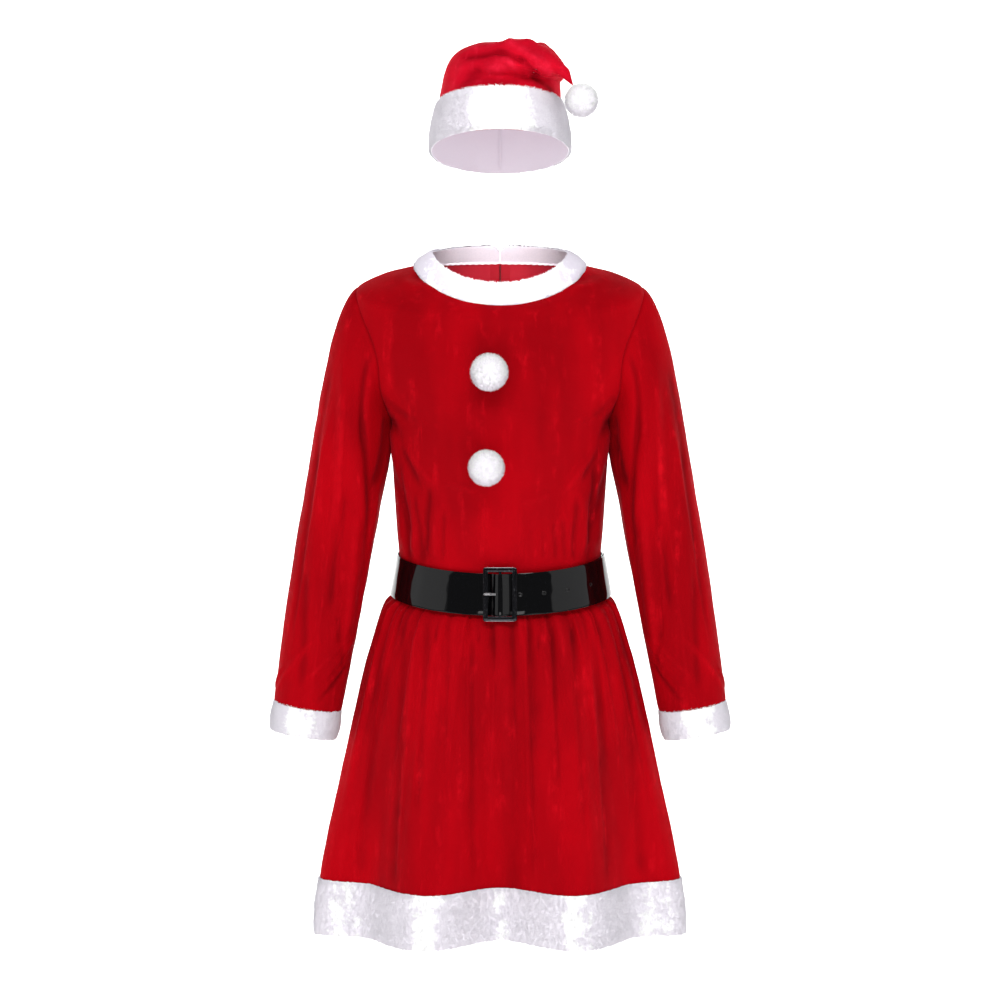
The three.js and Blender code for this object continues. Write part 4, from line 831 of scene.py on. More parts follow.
# %% Sleeve grids
def sleeve_grids(side):
    """The cap's rings follow cubic curves that leave the armhole sideways and arrive along the arm. Below them
    the rings are the arm's ovals."""
    start, end = armhole_ring(side, "outer")[None], sleeve_point(side, CAP_END_Z, SLEEVE_TURNS)[None]
    t = (np.arange(1, CAP_ROWS + 1) / CAP_ROWS)[:, None, None] ** 1.15
    high = ((1 - np.cos(SLEEVE_TURNS)) / 2)[None, :, None]
    lead = 8 + 20 * high
    down = np.array([side * math.sin(SLEEVE_TILT), 0, -math.cos(SLEEVE_TILT)])
    first = start + np.concatenate([side * lead, 0 * lead, -0.48 * lead * high], -1)
    second = end - 0.5 * (start[..., 2:] - end[..., 2:]) * down
    cap = (1 - t) ** 3 * start + 3 * (1 - t) ** 2 * t * first + 3 * (1 - t) * t**2 * second + t**3 * end
    arm = sleeve_point(side, SLEEVE_Z[:, None], SLEEVE_TURNS[None])
    base = np.concatenate([start, cap, arm])
    normals = normals_of(base, True)
    turns = np.broadcast_to(SLEEVE_TURNS, base.shape[:2])
    rows = np.arange(len(base))[:, None]
    fade = np.minimum(smoothstep(rows, 0, 18), smoothstep(len(base) - 1 - rows, 0, 12))
    crease = sleeve_relief(SLEEVE_CREASES, turns, base[..., 2])
    relief = sleeve_relief(SLEEVE_FOLDS, turns, base[..., 2]) + crease
    relief = (relief + 0.4 * ripple(base, 38, 11 + side)) * fade + underarm_fold(turns, base[..., 2], rows)
    seam = np.exp(-((np.linalg.norm(base - base[:1], axis=-1) / 2.2) ** 2))
    wrist = np.exp(-((len(base) - 1 - rows) * 3.1 / 2.6) ** 2)
    outer = pushed(base, normals, relief - 0.8 * seam * (rows > 0) - 1.2 * wrist)
    inner = pushed(outer, normals, -VELVET)
    inner[0] = armhole_ring(side, "inner")
    # The third grid is the depth kept for painted light: painted shade in the creases, along the armhole seam and
    # at the wrist, and painted highlights on the creases' ridges.
    return outer, inner, crease * fade - 1.4 * seam - wrist


print("the wrist is at", sleeve_point(1, WRIST_Z, np.pi / 2).round(1))

# %% [markdown]
# All the trims are made the same way, from one function. Plush is thick, so a band of it is full in the middle and
# rounded at both edges, and where it is sewn to thin velvet it rolls back over the seam.

# %% Plush bands
PLUSH_PILE, HAT_PILE = 2.4, 2.8
PLUSH_BACK, ROLL_SHARE = 1.2, 0.06


def plush_skins(base, normals, height, pile_length, seed, lumps, roll=0.0):
    """The plush cloth's outer and inner skin. Its height follows a sine to the power 0.6 from edge to edge, and
    soft lumps make it uneven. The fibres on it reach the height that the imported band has. Its first rows can roll
    back over the seam."""
    share = np.linspace(0, 1, len(base))[:, None]
    rounding = 0.25 + 0.75 * np.sin(np.pi * share) ** 0.6
    relief = height * rounding - 0.6 * pile_length + lumps * ripple(base, 16, seed) * rounding
    back = unit(base[:-1] - base[1:])[np.minimum(np.arange(len(base)), len(base) - 2)]
    rolled = roll * np.minimum(share / ROLL_SHARE, np.exp(1 - share / ROLL_SHARE))
    return pushed(base, normals, relief) + back * rolled[..., None], pushed(base, normals, -PLUSH_BACK)


print("pile of", PLUSH_PILE, "mm on the dress and", HAT_PILE, "mm on the hat")


# %% Sleeves and cuffs
def cuff_grids(side):
    """The arm's ovals from the wrist to the cuff's end, a little narrower than the sleeve, and their normals."""
    z = np.linspace(WRIST_Z - SEAM_GAP, CUFF_END_Z, 15)
    base = sleeve_point(side, z[:, None], np.linspace(0, 2 * np.pi, 121)[None, :-1], -2.6)
    return base, normals_of(base, True)


for side, hand in ((-1, "left"), (1, "right")):
    outer, inner, fold = sleeve_grids(side)
    sleeve = shell(f"velvet_sleeve_{hand}", outer, inner, True, RED_VELVET, (330, 560), VELVET_REVERSE, fold)
    cloth(sleeve, f"sleeve_{hand}", area_of(outer, True), "velvet")
    base, normals = cuff_grids(side)
    skin, lining = plush_skins(base, normals, 4.6, PLUSH_PILE, 20 + side, 0.7, 4.5)
    cuff = shell(f"plush_cuff_{hand}", skin, lining, True, WHITE_PLUSH, (260, 34), PLUSH_LINING,
                 towards_lamp(normals))
    cuff_pile = pile(f"cuff_pile_{hand}", skin, normals, 1.0, PLUSH_PILE, 30 + side, True)
    cloth(cuff, f"cuff_{hand}", area_of(skin, True), "plush", [cuff_pile])

# %% [markdown]
# ## Skirt and hem
#
# The skirt is gathered into the waist seam: many small folds stand out under the belt, fade downwards and give
# way to a few broad flutes at the hem. Cloth simulation would find its own folds, in other places than the real
# ones. Here the small folds are an uneven wave round the waist, whose height and length come from tables.

# %% Skirt sections
SKIRT = table(
    "drop half front back gather flute",
    (0, 128.2, 94.5, 81.5, 1.3, 0), (17, 131.6, 97.5, 85, 1.5, 0), (27, 142, 106, 95, 2.6, 0.02),
    (42, 149.5, 111, 101, 2.7, 0.04), (66, 157.5, 114, 106, 2.5, 0.07), (100, 167.5, 115, 111, 2.2, 0.13),
    (145, 178, 114, 115, 2.6, 0.24), (200, 190, 111, 118, 2, 0.42), (260, 203, 107, 121, 1.5, 0.63),
    (315, 215, 103, 123, 1.1, 0.82), (373, 225, 100, 125, 0.7, 1), (441, 231, 98, 127, 0, 1.12))
FLUTES = table("angle reach", (0, -22), (22, 35), (50, -13), (77, 4), (103, -9), (130, 15), (156, -12), (180, 9))
SKIRT_DROP, HEM_DROP = 373, 441
GATHERS_EACH_SIDE = 18
STEPS_EACH_SIDE = 2 * GATHERS_EACH_SIDE
print("skirt", len(SKIRT["drop"]), "sections,", len(FLUTES["angle"]), "flute angles a side")

# %% Skirt surface

def flute_reach(angle):
    """How far the flutes stand out, by a cosine ease from one row of their table to the next."""
    turn = np.abs(np.degrees(np.arctan2(np.sin(angle), np.cos(angle))))
    i = np.clip(np.searchsorted(FLUTES["angle"], turn) - 1, 0, len(FLUTES["angle"]) - 2)
    low, high = FLUTES["angle"][i], FLUTES["angle"][i + 1]
    ease = (1 - np.cos(np.pi * (turn - low) / (high - low))) / 2
    return FLUTES["reach"][i] + (FLUTES["reach"][i + 1] - FLUTES["reach"][i]) * ease


def eased(values, step):
    """Values given at whole steps, joined by a cosine ease, so that crests and valleys are round."""
    i = np.clip(np.floor(step).astype(int), 0, len(values) - 2)
    ease = (1 - np.cos(np.pi * (step - i))) / 2
    return values[i] + (values[i + 1] - values[i]) * ease


def skirt_point(step, drop):
    """An oval that widens downwards. Gathers push it in and out at alternate steps, fading below the waist by
    their own length, and flutes push it out further down."""
    whole = np.arange(2 * STEPS_EACH_SIDE + 1)
    at_seam = whole % STEPS_EACH_SIDE == 0
    wander = np.where(at_seam, 0, 0.28 * np.sin(whole * 2.3 + 0.7) + 0.14 * np.sin(whole * 5.1))
    angle = (step + np.interp(step, whole, wander)) * np.pi / STEPS_EACH_SIDE - np.pi / 2
    sign = np.where(at_seam, 0, np.where(whole % 2 == 0, 1, -1))
    strength = eased(sign * (0.75 + 0.35 * np.sin(whole * 1.9 + 0.4)), step)
    length = np.interp(step, whole, 150 + 110 * np.sin(whole * 3.7 + 1.1))
    row = row_at(SKIRT, "drop", drop)
    fade = np.exp(-((np.maximum(0, drop - 60) / length) ** 2))
    waist = section_point(row_at(BODICE, "z", WAIST_Z), angle, WAIST_Z)[..., 2]
    z = waist + (HEM_SEAM_Z - waist) * drop / (WAIST_Z - HEM_SEAM_Z)
    c = np.cos(angle)
    reach = np.where(c > 0, row["front"], row["back"])
    normal = unit(np.stack(np.broadcast_arrays(np.sin(angle) / row["half"], -c / reach, 0 * z), -1))
    out = row["flute"] * flute_reach(angle) + row["gather"] * strength * (0.2 + 0.8 * fade)
    fine = np.sin(step * 5.3 + 2 * np.sin(step * 0.9)) * np.exp(-((drop - 30) / 40) ** 2)
    points = np.stack(np.broadcast_arrays(row["half"] * np.sin(angle), -reach * c, z), -1)
    # The second value is the depth kept for painted light: painted shade in the gathers' valleys and painted
    # highlights on their crests, and the same for the small folds under the waist.
    return points + normal * (out + fine)[..., None], row["gather"] * strength * fade * 0.25 + 0.8 * fine


print("the front flute reaches", flute_reach(np.radians(22)), "mm")

# %% Skirt creases
SKIRT_CREASES = table(
    LINE_FOLD,
    (-36, -430, -33, -700, 5, -1.5), (34, -440, 38, -690, 5, -1.4), (-118, -460, -128, -750, 6, -1.5),
    (120, -466, 130, -745, 6, -1.5), (-86, -426, -98, -620, 4, -1.5), (88, -428, 100, -640, 4, -1.4),
    (-14, -520, -12, -640, 8, 1.2), (8, -500, 10, -650, 7, 1.1), (-60, -420, -66, -580, 3, -1.4),
    (62, -420, 70, -600, 3, -1.4), (-150, -500, -172, -740, 7, -1.3), (152, -490, 174, -735, 7, -1.3),
    (-104, -450, -122, -700, 2.4, 1.3), (108, -450, 124, -690, 2.4, 1.2), (-8, -426, -6, -520, 3, -1.2),
    (14, -424, 17, -540, 3, -1.2), (-40, -430, -38, -600, 2.2, 1.4), (30, -436, 34, -650, 2.2, 1.4),
    (-180, -600, -198, -750, 7, 1.2), (182, -590, 200, -745, 7, 1.2), (118, -426, 130, -560, 2.2, 1.3),
    (-24, -416, -25, -452, 2.4, -2.0), (44, -416, 46, -460, 2.4, -2.0), (-74, -412, -78, -450, 2.4, -2.0),
    (84, -410, 88, -452, 2.4, -1.8), (-104, -408, -112, -440, 2.4, -1.8), (110, -408, 120, -446, 2.4, -1.8))
print("skirt creases", len(SKIRT_CREASES["x0"]))

# %% Skirt panels
SKIRT_STEPS = 288
SKIRT_DROPS = np.concatenate([[WAIST_GAP / 2], np.linspace(3, 60, 24), np.linspace(64, SKIRT_DROP, 60)])
HEM_DROPS = np.linspace(SKIRT_DROP + SEAM_GAP, HEM_DROP, 22)


def skirt_grid(first, drops):
    """Half of the skirt between its side seams, trimmed there by the seam's gap."""
    step = first + np.linspace(0, STEPS_EACH_SIDE, SKIRT_STEPS + 1)[None]
    points, fold = skirt_point(step, drops[:, None])
    points[:, [0, -1], 1] += (-1 if first == 0 else 1) * SEAM_GAP / 2
    return {"base": points, "normals": normals_of(points), "fold": fold}


def skirt_pair(drops):
    """The front and the back, with the same normals along their side seams."""
    pair = [skirt_grid(0, drops), skirt_grid(STEPS_EACH_SIDE, drops)]
    share_seam(pair[0], SKIRT_STEPS, pair[1], 0, np.arange(len(drops)))
    share_seam(pair[0], 0, pair[1], SKIRT_STEPS, np.arange(len(drops)))
    return pair


skirt_panels, hem_panels = skirt_pair(SKIRT_DROPS), skirt_pair(HEM_DROPS)
print("a skirt half is a grid of", skirt_panels[0]["base"].shape[:2])

# %% Skirt and hem pieces
for k, half in enumerate(("front", "back")):
    base, normals = skirt_panels[k]["base"], skirt_panels[k]["normals"]
    column = np.arange(SKIRT_STEPS + 1)[None]
    to_side = np.minimum(column, SKIRT_STEPS - column)
    crease = line_folds(SKIRT_CREASES, base[..., 0], base[..., 2]) + 0.4 * ripple(base, 36, 5 + k)
    crease *= smoothstep(to_side, 0, 20) * smoothstep(SKIRT_DROPS, 20, 60)[:, None]
    crease *= smoothstep(SKIRT_DROP - SKIRT_DROPS, 0, 30)[:, None]
    hem_dip = np.exp(-(((SKIRT_DROP - SKIRT_DROPS) / 3) ** 2))[:, None]
    side_dip = np.exp(-((to_side / 1.3) ** 2))
    outer = pushed(base, normals, crease - 0.9 * side_dip - 0.7 * hem_dip)
    # The depth kept for painted light adds the creases, and painted shade along the side seams and at the hem seam.
    fold = skirt_panels[k]["fold"] + crease - 1.6 * side_dip - 0.5 * hem_dip
    skirt = shell(f"velvet_skirt_{half}", outer, pushed(outer, normals, -VELVET), False, RED_VELVET,
                  (900, SKIRT_DROP), VELVET_REVERSE, fold)
    cloth(skirt, f"skirt_{half}",
          area_of(outer), "velvet")
    base, normals = hem_panels[k]["base"], hem_panels[k]["normals"]
    skin, lining = plush_skins(base, normals, 3.4, PLUSH_PILE, 40 + k, 0.9, 6.0)
    hem = shell(f"plush_hem_{half}", skin, lining, False, WHITE_PLUSH, (760, 68), PLUSH_LINING,
                towards_lamp(normals))
    hem_pile = pile(f"hem_pile_{half}", skin, normals, 1.15, PLUSH_PILE, 50 + 10 * k)
    cloth(hem, f"hem_trim_{half}", area_of(skin), "plush", [hem_pile])

# %% [markdown]
# ## Collar
#
# A plush band stands on the neckline. It starts on the bodice's own edge and leans in to its open upper edge. Its
# two ends meet over the zip and part in a small V at the top.

# %% Collar surface
COLLAR_TOP = {"half": 84, "front": 56, "back": 43, "dipFront": 41, "dipBack": -10}
COLLAR_TOP_Z = 17
PARTING_HALF, PARTING_REACH = 8, 24


def around_neck(key, row):
    """A row of the three bodice panels as one line, from the centre back round the front to the centre back."""
    return np.concatenate([back_left[key][row, :-1], front[key][row], back_right[key][row, 1:]])


neckline, below = around_neck("base", NECK_ROW), around_neck("base", NECK_ROW - 8)
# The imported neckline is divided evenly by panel, so a point's angle goes by its place along the panels
places = np.concatenate([np.linspace(0, 10, BACK_COLUMNS + 1)[:-1], np.linspace(10, 30, FRONT_COLUMNS + 1),
                         np.linspace(30, 40, BACK_COLUMNS + 1)[1:]])
up = np.linspace(0, 1, 15)[:, None, None]
start = neckline + unit(neckline - below) * SEAM_GAP
end = section_point(COLLAR_TOP, np.pi * (2 * places / 40 - 1), COLLAR_TOP_Z)
collar_base = start * (1 - up) + end * up
# At the centre back the ends lie together and part in a V over the upper two fifths. The cloth beside makes room
from_back = np.abs(collar_base[..., 0])
parting = SEAM_GAP + PARTING_HALF * np.clip((up[..., 0] - 0.6) / 0.4, 0, 1) ** 1.3
near_back = (np.minimum(places, 40 - places) < 10) & (from_back < PARTING_REACH)
moved = np.where(places < 20, -1, 1) * (parting + from_back * (1 - parting / PARTING_REACH))
collar_base[..., 0] = np.where(near_back, moved, collar_base[..., 0])
collar_normals = normals_of(collar_base)
collar_normals[0] = around_neck("normals", NECK_ROW)
print("collar grid", collar_base.shape[:2])

# %% Collar pieces
skin, lining = plush_skins(collar_base, collar_normals, 4.4, PLUSH_PILE, 60, 0.9)
collar = shell("plush_collar", skin, lining, False, COLLAR_PLUSH, (560, 34), COLLAR_LINING,
               towards_lamp(collar_normals))
collar_pile = pile("collar_pile", skin, collar_normals, 1.0, PLUSH_PILE, 61, material=COLLAR_PLUSH)
collar_nap = pile("collar_lining_pile", lining, -collar_normals, 1.3, 1.5, 62, material=COLLAR_LINING)
cloth(collar, "collar", area_of(skin), "plush",
      [collar_pile, collar_nap])

# %% [markdown]
# ## Pompoms
#
# A pompom is wound yarn, tied in the middle and cut, so its strands point out from the centre and gather into
# small tufts. A ball carries a few thousand spikes. Each points along its own direction, turned a little towards
# the middle of its tuft.

# %% Pompom helpers
STRANDS, TUFTS = 4200, 150
CORE_RINGS, CORE_SIDES = 25, 40


def sunflower(count):
    """Directions spread evenly over a ball: equal steps of height, each turned by the golden angle."""
    k = np.arange(count) + 0.5
    height, turn = 1 - 2 * k / count, k * np.pi * (3 - math.sqrt(5))
    across = np.sqrt(1 - height**2)
    return np.stack([across * np.cos(turn), across * np.sin(turn), height], -1)


def pompom(name, replaced, centre, diameter, seed):
    """A ball under spikes that bend towards the nearest of the tuft directions. It is a little uneven."""
    rng = np.random.default_rng(seed)
    radius = diameter / 2
    strands, tufts = sunflower(STRANDS), unit(sunflower(TUFTS) + 0.06 * rng.normal(size=(TUFTS, 3)))
    nearest = tufts[np.argmax(strands @ tufts.T, 1)]
    direction = unit(0.8 * strands + 0.2 * nearest + 0.05 * rng.normal(size=strands.shape))
    closeness = np.sum(strands * nearest, -1)
    reach = radius * (0.965 - 0.9 * (1 - closeness) + rng.uniform(-0.03, 0.035, len(strands)))
    root = centre + strands * radius * 0.62
    tip = centre + direction * reach[:, None]
    piece = spikes(name, root, unit(tip - root), np.linalg.norm(tip - root, axis=-1), 0.9, POMPOM_YARN, strands)
    latitude = np.linspace(0.001, np.pi - 0.001, CORE_RINGS)[:, None]
    longitude = np.linspace(0, 2 * np.pi, CORE_SIDES + 1)[None, :-1]
    ball = np.stack(np.broadcast_arrays(np.sin(latitude) * np.cos(longitude),
                                        np.sin(latitude) * np.sin(longitude), np.cos(latitude)), -1)
    skin = centre + ball * radius * (0.84 + 0.02 * ripple(ball * 40, 18, seed))[..., None]
    faces, _ = facing_out(skin.reshape(-1, 3), grid_faces(CORE_RINGS, CORE_SIDES, True)[0])
    core = new_piece(f"{name}_core", skin.reshape(-1, 3), faces, None, POMPOM_YARN, 180)
    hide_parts(replaced)
    wear("plush", piece, core)
    print(f"{name}: {len(strands)} strands, {diameter} mm")


# %% Pompoms
def front_point(x, z):
    """The bodice's front surface at an (x, z): the angle comes from x, and the height from z and the dip."""
    angle = math.asin(x / float(row_at(BODICE, "z", z)["half"]))
    lifted = z + float(row_at(BODICE, "z", z)["dipFront"]) * math.cos(angle) ** 1.25
    return section_point(row_at(BODICE, "z", lifted), angle, lifted)


for name, x, z, diameter, seed in (("upper", -12.6, -130, 49, 71), ("lower", -16.2, -248, 47, 72)):
    seat = front_point(x, z) - np.array([0, diameter / 2 + SEAM_GAP, 0])
    pompom(f"chest_pompom_{name}", f"pompom_{name}", seat, diameter, seed)
pompom("tail_pompom", "hat_pompom", np.array([98.6, -78, 195.5]), 44.5, 73)

# %% [markdown]
# ## Belt
#
# One patent strap, 50 mm wide. It is fixed under the buckle's centre bar, goes once round the waist, comes back
# behind the buckle's first side, over the centre bar and behind the second side, and its long tail with spare
# holes lies on its own start. A curve with a bevel could give the strap, but it has to change layer smoothly, so
# it is a grid along a spiral: the angle along it and the height across it.

# %% Belt surface
BELT = {"half": 133.2, "front": 103, "back": 90, "dipFront": 18, "dipBack": -16}
BELT_Z, BELT_WIDTH, BELT_FLARE, STRAP = -384, 50, 8.6, 2
STAND, BAR_THICK, TAIL_LAYER = 2.9, 2, STRAP + SEAM_GAP
CROWN_OUT, BULGE_HALF = STAND + BAR_THICK + 0.8 + STRAP, 13.5
ONCE_ROUND, TAIL_TURN = 2 * np.pi, math.radians(104)
MEAN_RADIUS = 118


def belt_point(angle, height, out):
    """The waist's oval, wider by the distance out and by the flare of the lower edge."""
    widen = out - BELT_FLARE * height / BELT_WIDTH
    row = {key: value + (widen if key in ("half", "front", "back") else 0) for key, value in BELT.items()}
    return section_point(row, angle, BELT_Z + height)


def strap_out(angle):
    """How far the strap's outer face stands off the waist along its path: raised under the buckle at its start,
    level round the body, raised over the centre bar, and a layer out along the tail."""
    x = (angle - ONCE_ROUND) * BELT["half"]
    layer = TAIL_LAYER * smoothstep(x, -BULGE_HALF, BULGE_HALF)
    bulge = np.where(np.abs(x) < BULGE_HALF, np.cos(np.pi * x / (2 * BULGE_HALF)) ** 2, 0)
    start = (STAND - SEAM_GAP) * (1 - smoothstep(angle, 0.03, 0.085))
    return np.where(angle < 1, start, layer * (1 - bulge) + CROWN_OUT * bulge)


print("the tail's outer face is", round(float(strap_out(ONCE_ROUND + 0.5)), 2), "mm out from the strap under it")


# %% Belt strap
def strap_grids():
    """Outer and inner face. The edges are turned down a little, the tail's end is round, and the patent is
    slightly wavy."""
    stops = (-0.012, 0.16, ONCE_ROUND - 0.11, ONCE_ROUND + 0.11, ONCE_ROUND + TAIL_TURN)
    parts = [np.linspace(stops[k], stops[k + 1], count)[:-1] for k, count in enumerate((24, 300, 50, 120))]
    angle = np.append(np.concatenate(parts), stops[-1])[:, None]
    to_end = (ONCE_ROUND + TAIL_TURN - angle) * MEAN_RADIUS
    taper = np.sqrt(1 - np.clip(1 - to_end / 20, 0, 1) ** 2 * 0.8)
    across = np.linspace(-1, 1, 19)[None]
    height = BELT_WIDTH / 2 * across * taper
    edge = 0.5 * smoothstep(np.abs(across), 0.93, 1)
    wave = 0.16 * np.sin(angle * 23 + 1.5 * np.sin(angle * 7)) * (1 - across**2)
    out = strap_out(angle)
    return belt_point(angle, height, out - edge + wave), belt_point(angle, height, out - STRAP + edge + wave)


strap = shell("patent_strap", *strap_grids(), False, BLACK_PATENT, (BELT_WIDTH, 1040))
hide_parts("belt_strap")
wear("patent", strap)
print("strap", len(strap.data.polygons), "faces")

# %% Spare holes
FIRST_HOLE, HOLE_STEP, HOLES = 24, 28.5, 4


def punched_hole(name, angle):
    """A round hole's dark opening and the pressed rim round it, on the tail's outer face."""
    turn = np.linspace(0, 2 * np.pi, 25)[:-1]
    radii = np.array([0.0, 1.6, 1.9, 2.3, 2.6])[:, None]
    lift = np.array([0.05, 0.05, 0.22, 0.22, 0.02])[:, None]
    points = belt_point(angle + radii * np.sin(turn) / MEAN_RADIUS, radii * np.cos(turn), TAIL_LAYER + lift + 0.1)
    piece = new_piece(name, points.reshape(-1, 3), grid_faces(*points.shape[:2], True)[0], None, BLACK_PATENT, 60)
    wear("patent", piece)


for k in range(HOLES):
    punched_hole(f"strap_hole_{k + 1}", ONCE_ROUND + math.asin((FIRST_HOLE + HOLE_STEP * k) / BELT["half"]))
print(HOLES, "spare holes")

# %% [markdown]
# ## Buckle
#
# A flat rectangular frame with rounded edges, a centre bar and a prong. Each could be a bevelled curve, but the
# frame's corners are tighter than its width. So its cross-section is blended between a matched inner and outer
# outline.

# %% Places and outlines
def on_belt_front(points):
    """Leans points with the strap, whose lower edge stands further out, and moves them to the belt's front."""
    lean = math.atan(BELT_FLARE / BELT_WIDTH)
    y, z = points[..., 1] - BELT["front"], points[..., 2]
    turned_y = y * math.cos(lean) + z * math.sin(lean) + BELT["front"] * (math.cos(lean) - 1)
    front_z = BELT_Z - BELT["dipFront"]
    turned_z = -y * math.sin(lean) + z * math.cos(lean) + front_z - BELT["front"] * math.sin(lean)
    return np.stack([points[..., 0], turned_y, turned_z], -1)


CORNER_POINTS = 8


def rounded_rectangle(wide, tall, corner):
    """The outline as (x, z): a quarter circle at each corner, and the straight sides between them."""
    turn = np.concatenate([np.linspace(k * np.pi / 2, (k + 1) * np.pi / 2, CORNER_POINTS) for k in range(4)])
    corners = [[1, 1], [-1, 1], [-1, -1], [1, -1]]
    centre = np.repeat(corners, CORNER_POINTS, axis=0) * [wide / 2 - corner, tall / 2 - corner]
    return centre + corner * np.stack([np.cos(turn), np.sin(turn)], -1)


def rounded_profile(count, power=5):
    """A superellipse from -1 to 1, which is a square with rounded corners."""
    turn = np.linspace(0, 2 * np.pi, count, endpoint=False)
    c, s = np.cos(turn), np.sin(turn)
    return np.stack([np.sign(c) * np.abs(c) ** (2 / power), np.sign(s) * np.abs(s) ** (2 / power)], -1)


print("a rounded outline has", len(rounded_rectangle(41, 65, 2.5)), "points")


# %% Rings and bars
def frame_piece(name, outside, inside, low, high, material, place):
    """A ring whose cross-section is a rounded rectangle between two matched outlines and two depths."""
    profile = rounded_profile(24)
    share = (profile[:, 0] * 0.5 + 0.5)[:, None, None]
    plane = inside[None] * (1 - share) + outside[None] * share
    depth = low + (high - low) * (profile[:, 1] * 0.5 + 0.5)
    points = place(np.stack(np.broadcast_arrays(plane[..., 0], -depth[:, None], plane[..., 1]), -1))
    closed = np.concatenate([points, points[:1]])
    faces, _ = grid_faces(*closed.shape[:2], True)
    faces, _ = facing_out(points.reshape(-1, 3), faces % points[..., 0].size)
    return new_piece(name, points.reshape(-1, 3), faces, None, material, 60)


def bar_piece(name, path, across, wide, thick, material, place):
    """A bar with a rounded cross-section along a path of (x, depth, z) points, closed at both ends by rings that
    shrink to a point."""
    profile = rounded_profile(16, 4)
    from_end = np.minimum(np.arange(len(path)), np.arange(len(path))[::-1])
    ends = np.sqrt(1 - (1 - from_end / 3).clip(0) ** 2)
    tangent = unit(np.gradient(path, axis=0))
    side = np.broadcast_to(across, tangent.shape)
    up = np.cross(tangent, side)
    size = np.maximum(ends, 0.02)[:, None, None]
    points = path[:, None] + size * (profile[None, :, :1] * side[:, None] * wide / 2
                                     + profile[None, :, 1:] * up[:, None] * thick / 2)
    points = place(points)
    faces, _ = facing_out(points.reshape(-1, 3), grid_faces(*points.shape[:2], True)[0])
    return new_piece(name, points.reshape(-1, 3), faces, None, material, 60)


print("a bar's cross-section reaches", np.abs(rounded_profile(16, 4)).max())

# %% Buckle
frame_ring = frame_piece("buckle_ring", rounded_rectangle(41, 65, 2.5), rounded_rectangle(29.4, 53.4, 1.25),
                         STAND, STAND + 3.5, DARK_METAL, on_belt_front)
bar_path = np.stack([np.zeros(24), np.full(24, -STAND - 1), np.linspace(-29.6, 29.6, 24)], -1)
centre_bar = bar_piece("buckle_centre_bar", bar_path, (1, 0, 0), 4, BAR_THICK, DARK_METAL, on_belt_front)
prong_x = np.linspace(-2.35, -20.2, 26)
prong_out = STAND + BAR_THICK / 2 + 4.25 * smoothstep(-prong_x, 2.35, 13)
prong_path = np.stack([prong_x, -prong_out, np.zeros(26)], -1)
prong = bar_piece("buckle_tongue", prong_path, (0, 0, 1), 3, 1.7, BRIGHT_METAL, on_belt_front)
rims = []
for end, z in (("top", 32.3), ("bottom", -32.3)):
    rim_path = np.stack([np.linspace(-19, 19, 12), np.full(12, -STAND - 3.0), np.full(12, z)], -1)
    rims.append(bar_piece(f"buckle_rim_{end}", rim_path, (0, 0, 1), 0.7, 0.8, BRIGHT_METAL, on_belt_front))
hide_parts("buckle_frame")
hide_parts("buckle_prong")
wear("buckle_metal", frame_ring, centre_bar)
wear("prong_metal", prong, *rims)
print("buckle", [round(float(x), 4) for x in on_belt_front(np.array([0, -STAND, 0.0]))])

# %% [markdown]
# ## Serged neck edge
#
# Inside the neck the collar and the bodice are overlocked together, and the threads show as a bumpy white cord. A
# rounded bar follows the inner neckline and rises and falls with each stitch.

# %% Serged neck edge
neck_inside = around_neck("inner", NECK_ROW)
stitch = np.arange(len(neck_inside))
towards_middle = unit(neck_inside * np.array([-1, -1, 0]))
serged = neck_inside + 1.2 * towards_middle + np.array([0, 0, 0.4])
serged[:, 2] += 0.5 * np.sin(stitch * 2.1)
neck_edge = bar_piece("neck_serged_edge", serged, (0, 0, 1), 2.6, 1.6, COLLAR_LINING, np.asarray)
wear("plush", neck_edge)
print("serged edge", len(serged), "points")

# %% [markdown]
# ## Zip
#
# An invisible zip closes the centre back. Its tape lies inside the two panels and its coil shows on the inner
# side. The slider stands under the collar with its pull tab hanging from a small bridge.

# %% Zip tape
ZIP_ROWS = np.unique(np.linspace(0, NECK_ROW, 90).astype(int))
TAPE_THICK, TAPE_ACROSS = 0.8, np.linspace(-12.5, 12.5, 11)


def zip_line(depth, places):
    """Lines beside the centre back at given distances, a seam's gap and a depth inside the panels."""
    centre = back_left["inner"][ZIP_ROWS, 0] * np.array([0, 1, 1])
    normal = back_left["normals"][ZIP_ROWS, 0]
    beside = back_left["inner"][ZIP_ROWS, 6]
    bend = (beside - centre) / np.abs(beside[:, :1])
    x = np.asarray(places)[None, :, None]
    points = centre[:, None] + np.abs(x) * bend[:, None] * np.array([0, 1, 1]) + x * np.array([1, 0, 0])
    return points - normal[:, None] * (SEAM_GAP + depth)


tape_face = zip_line(0, TAPE_ACROSS)
tape = shell("zip_tape_woven", tape_face, zip_line(TAPE_THICK, TAPE_ACROSS), False, RED_TAPE, (25, -WAIST_Z))
cloth(tape, "zip_tape", area_of(tape_face), "tape")


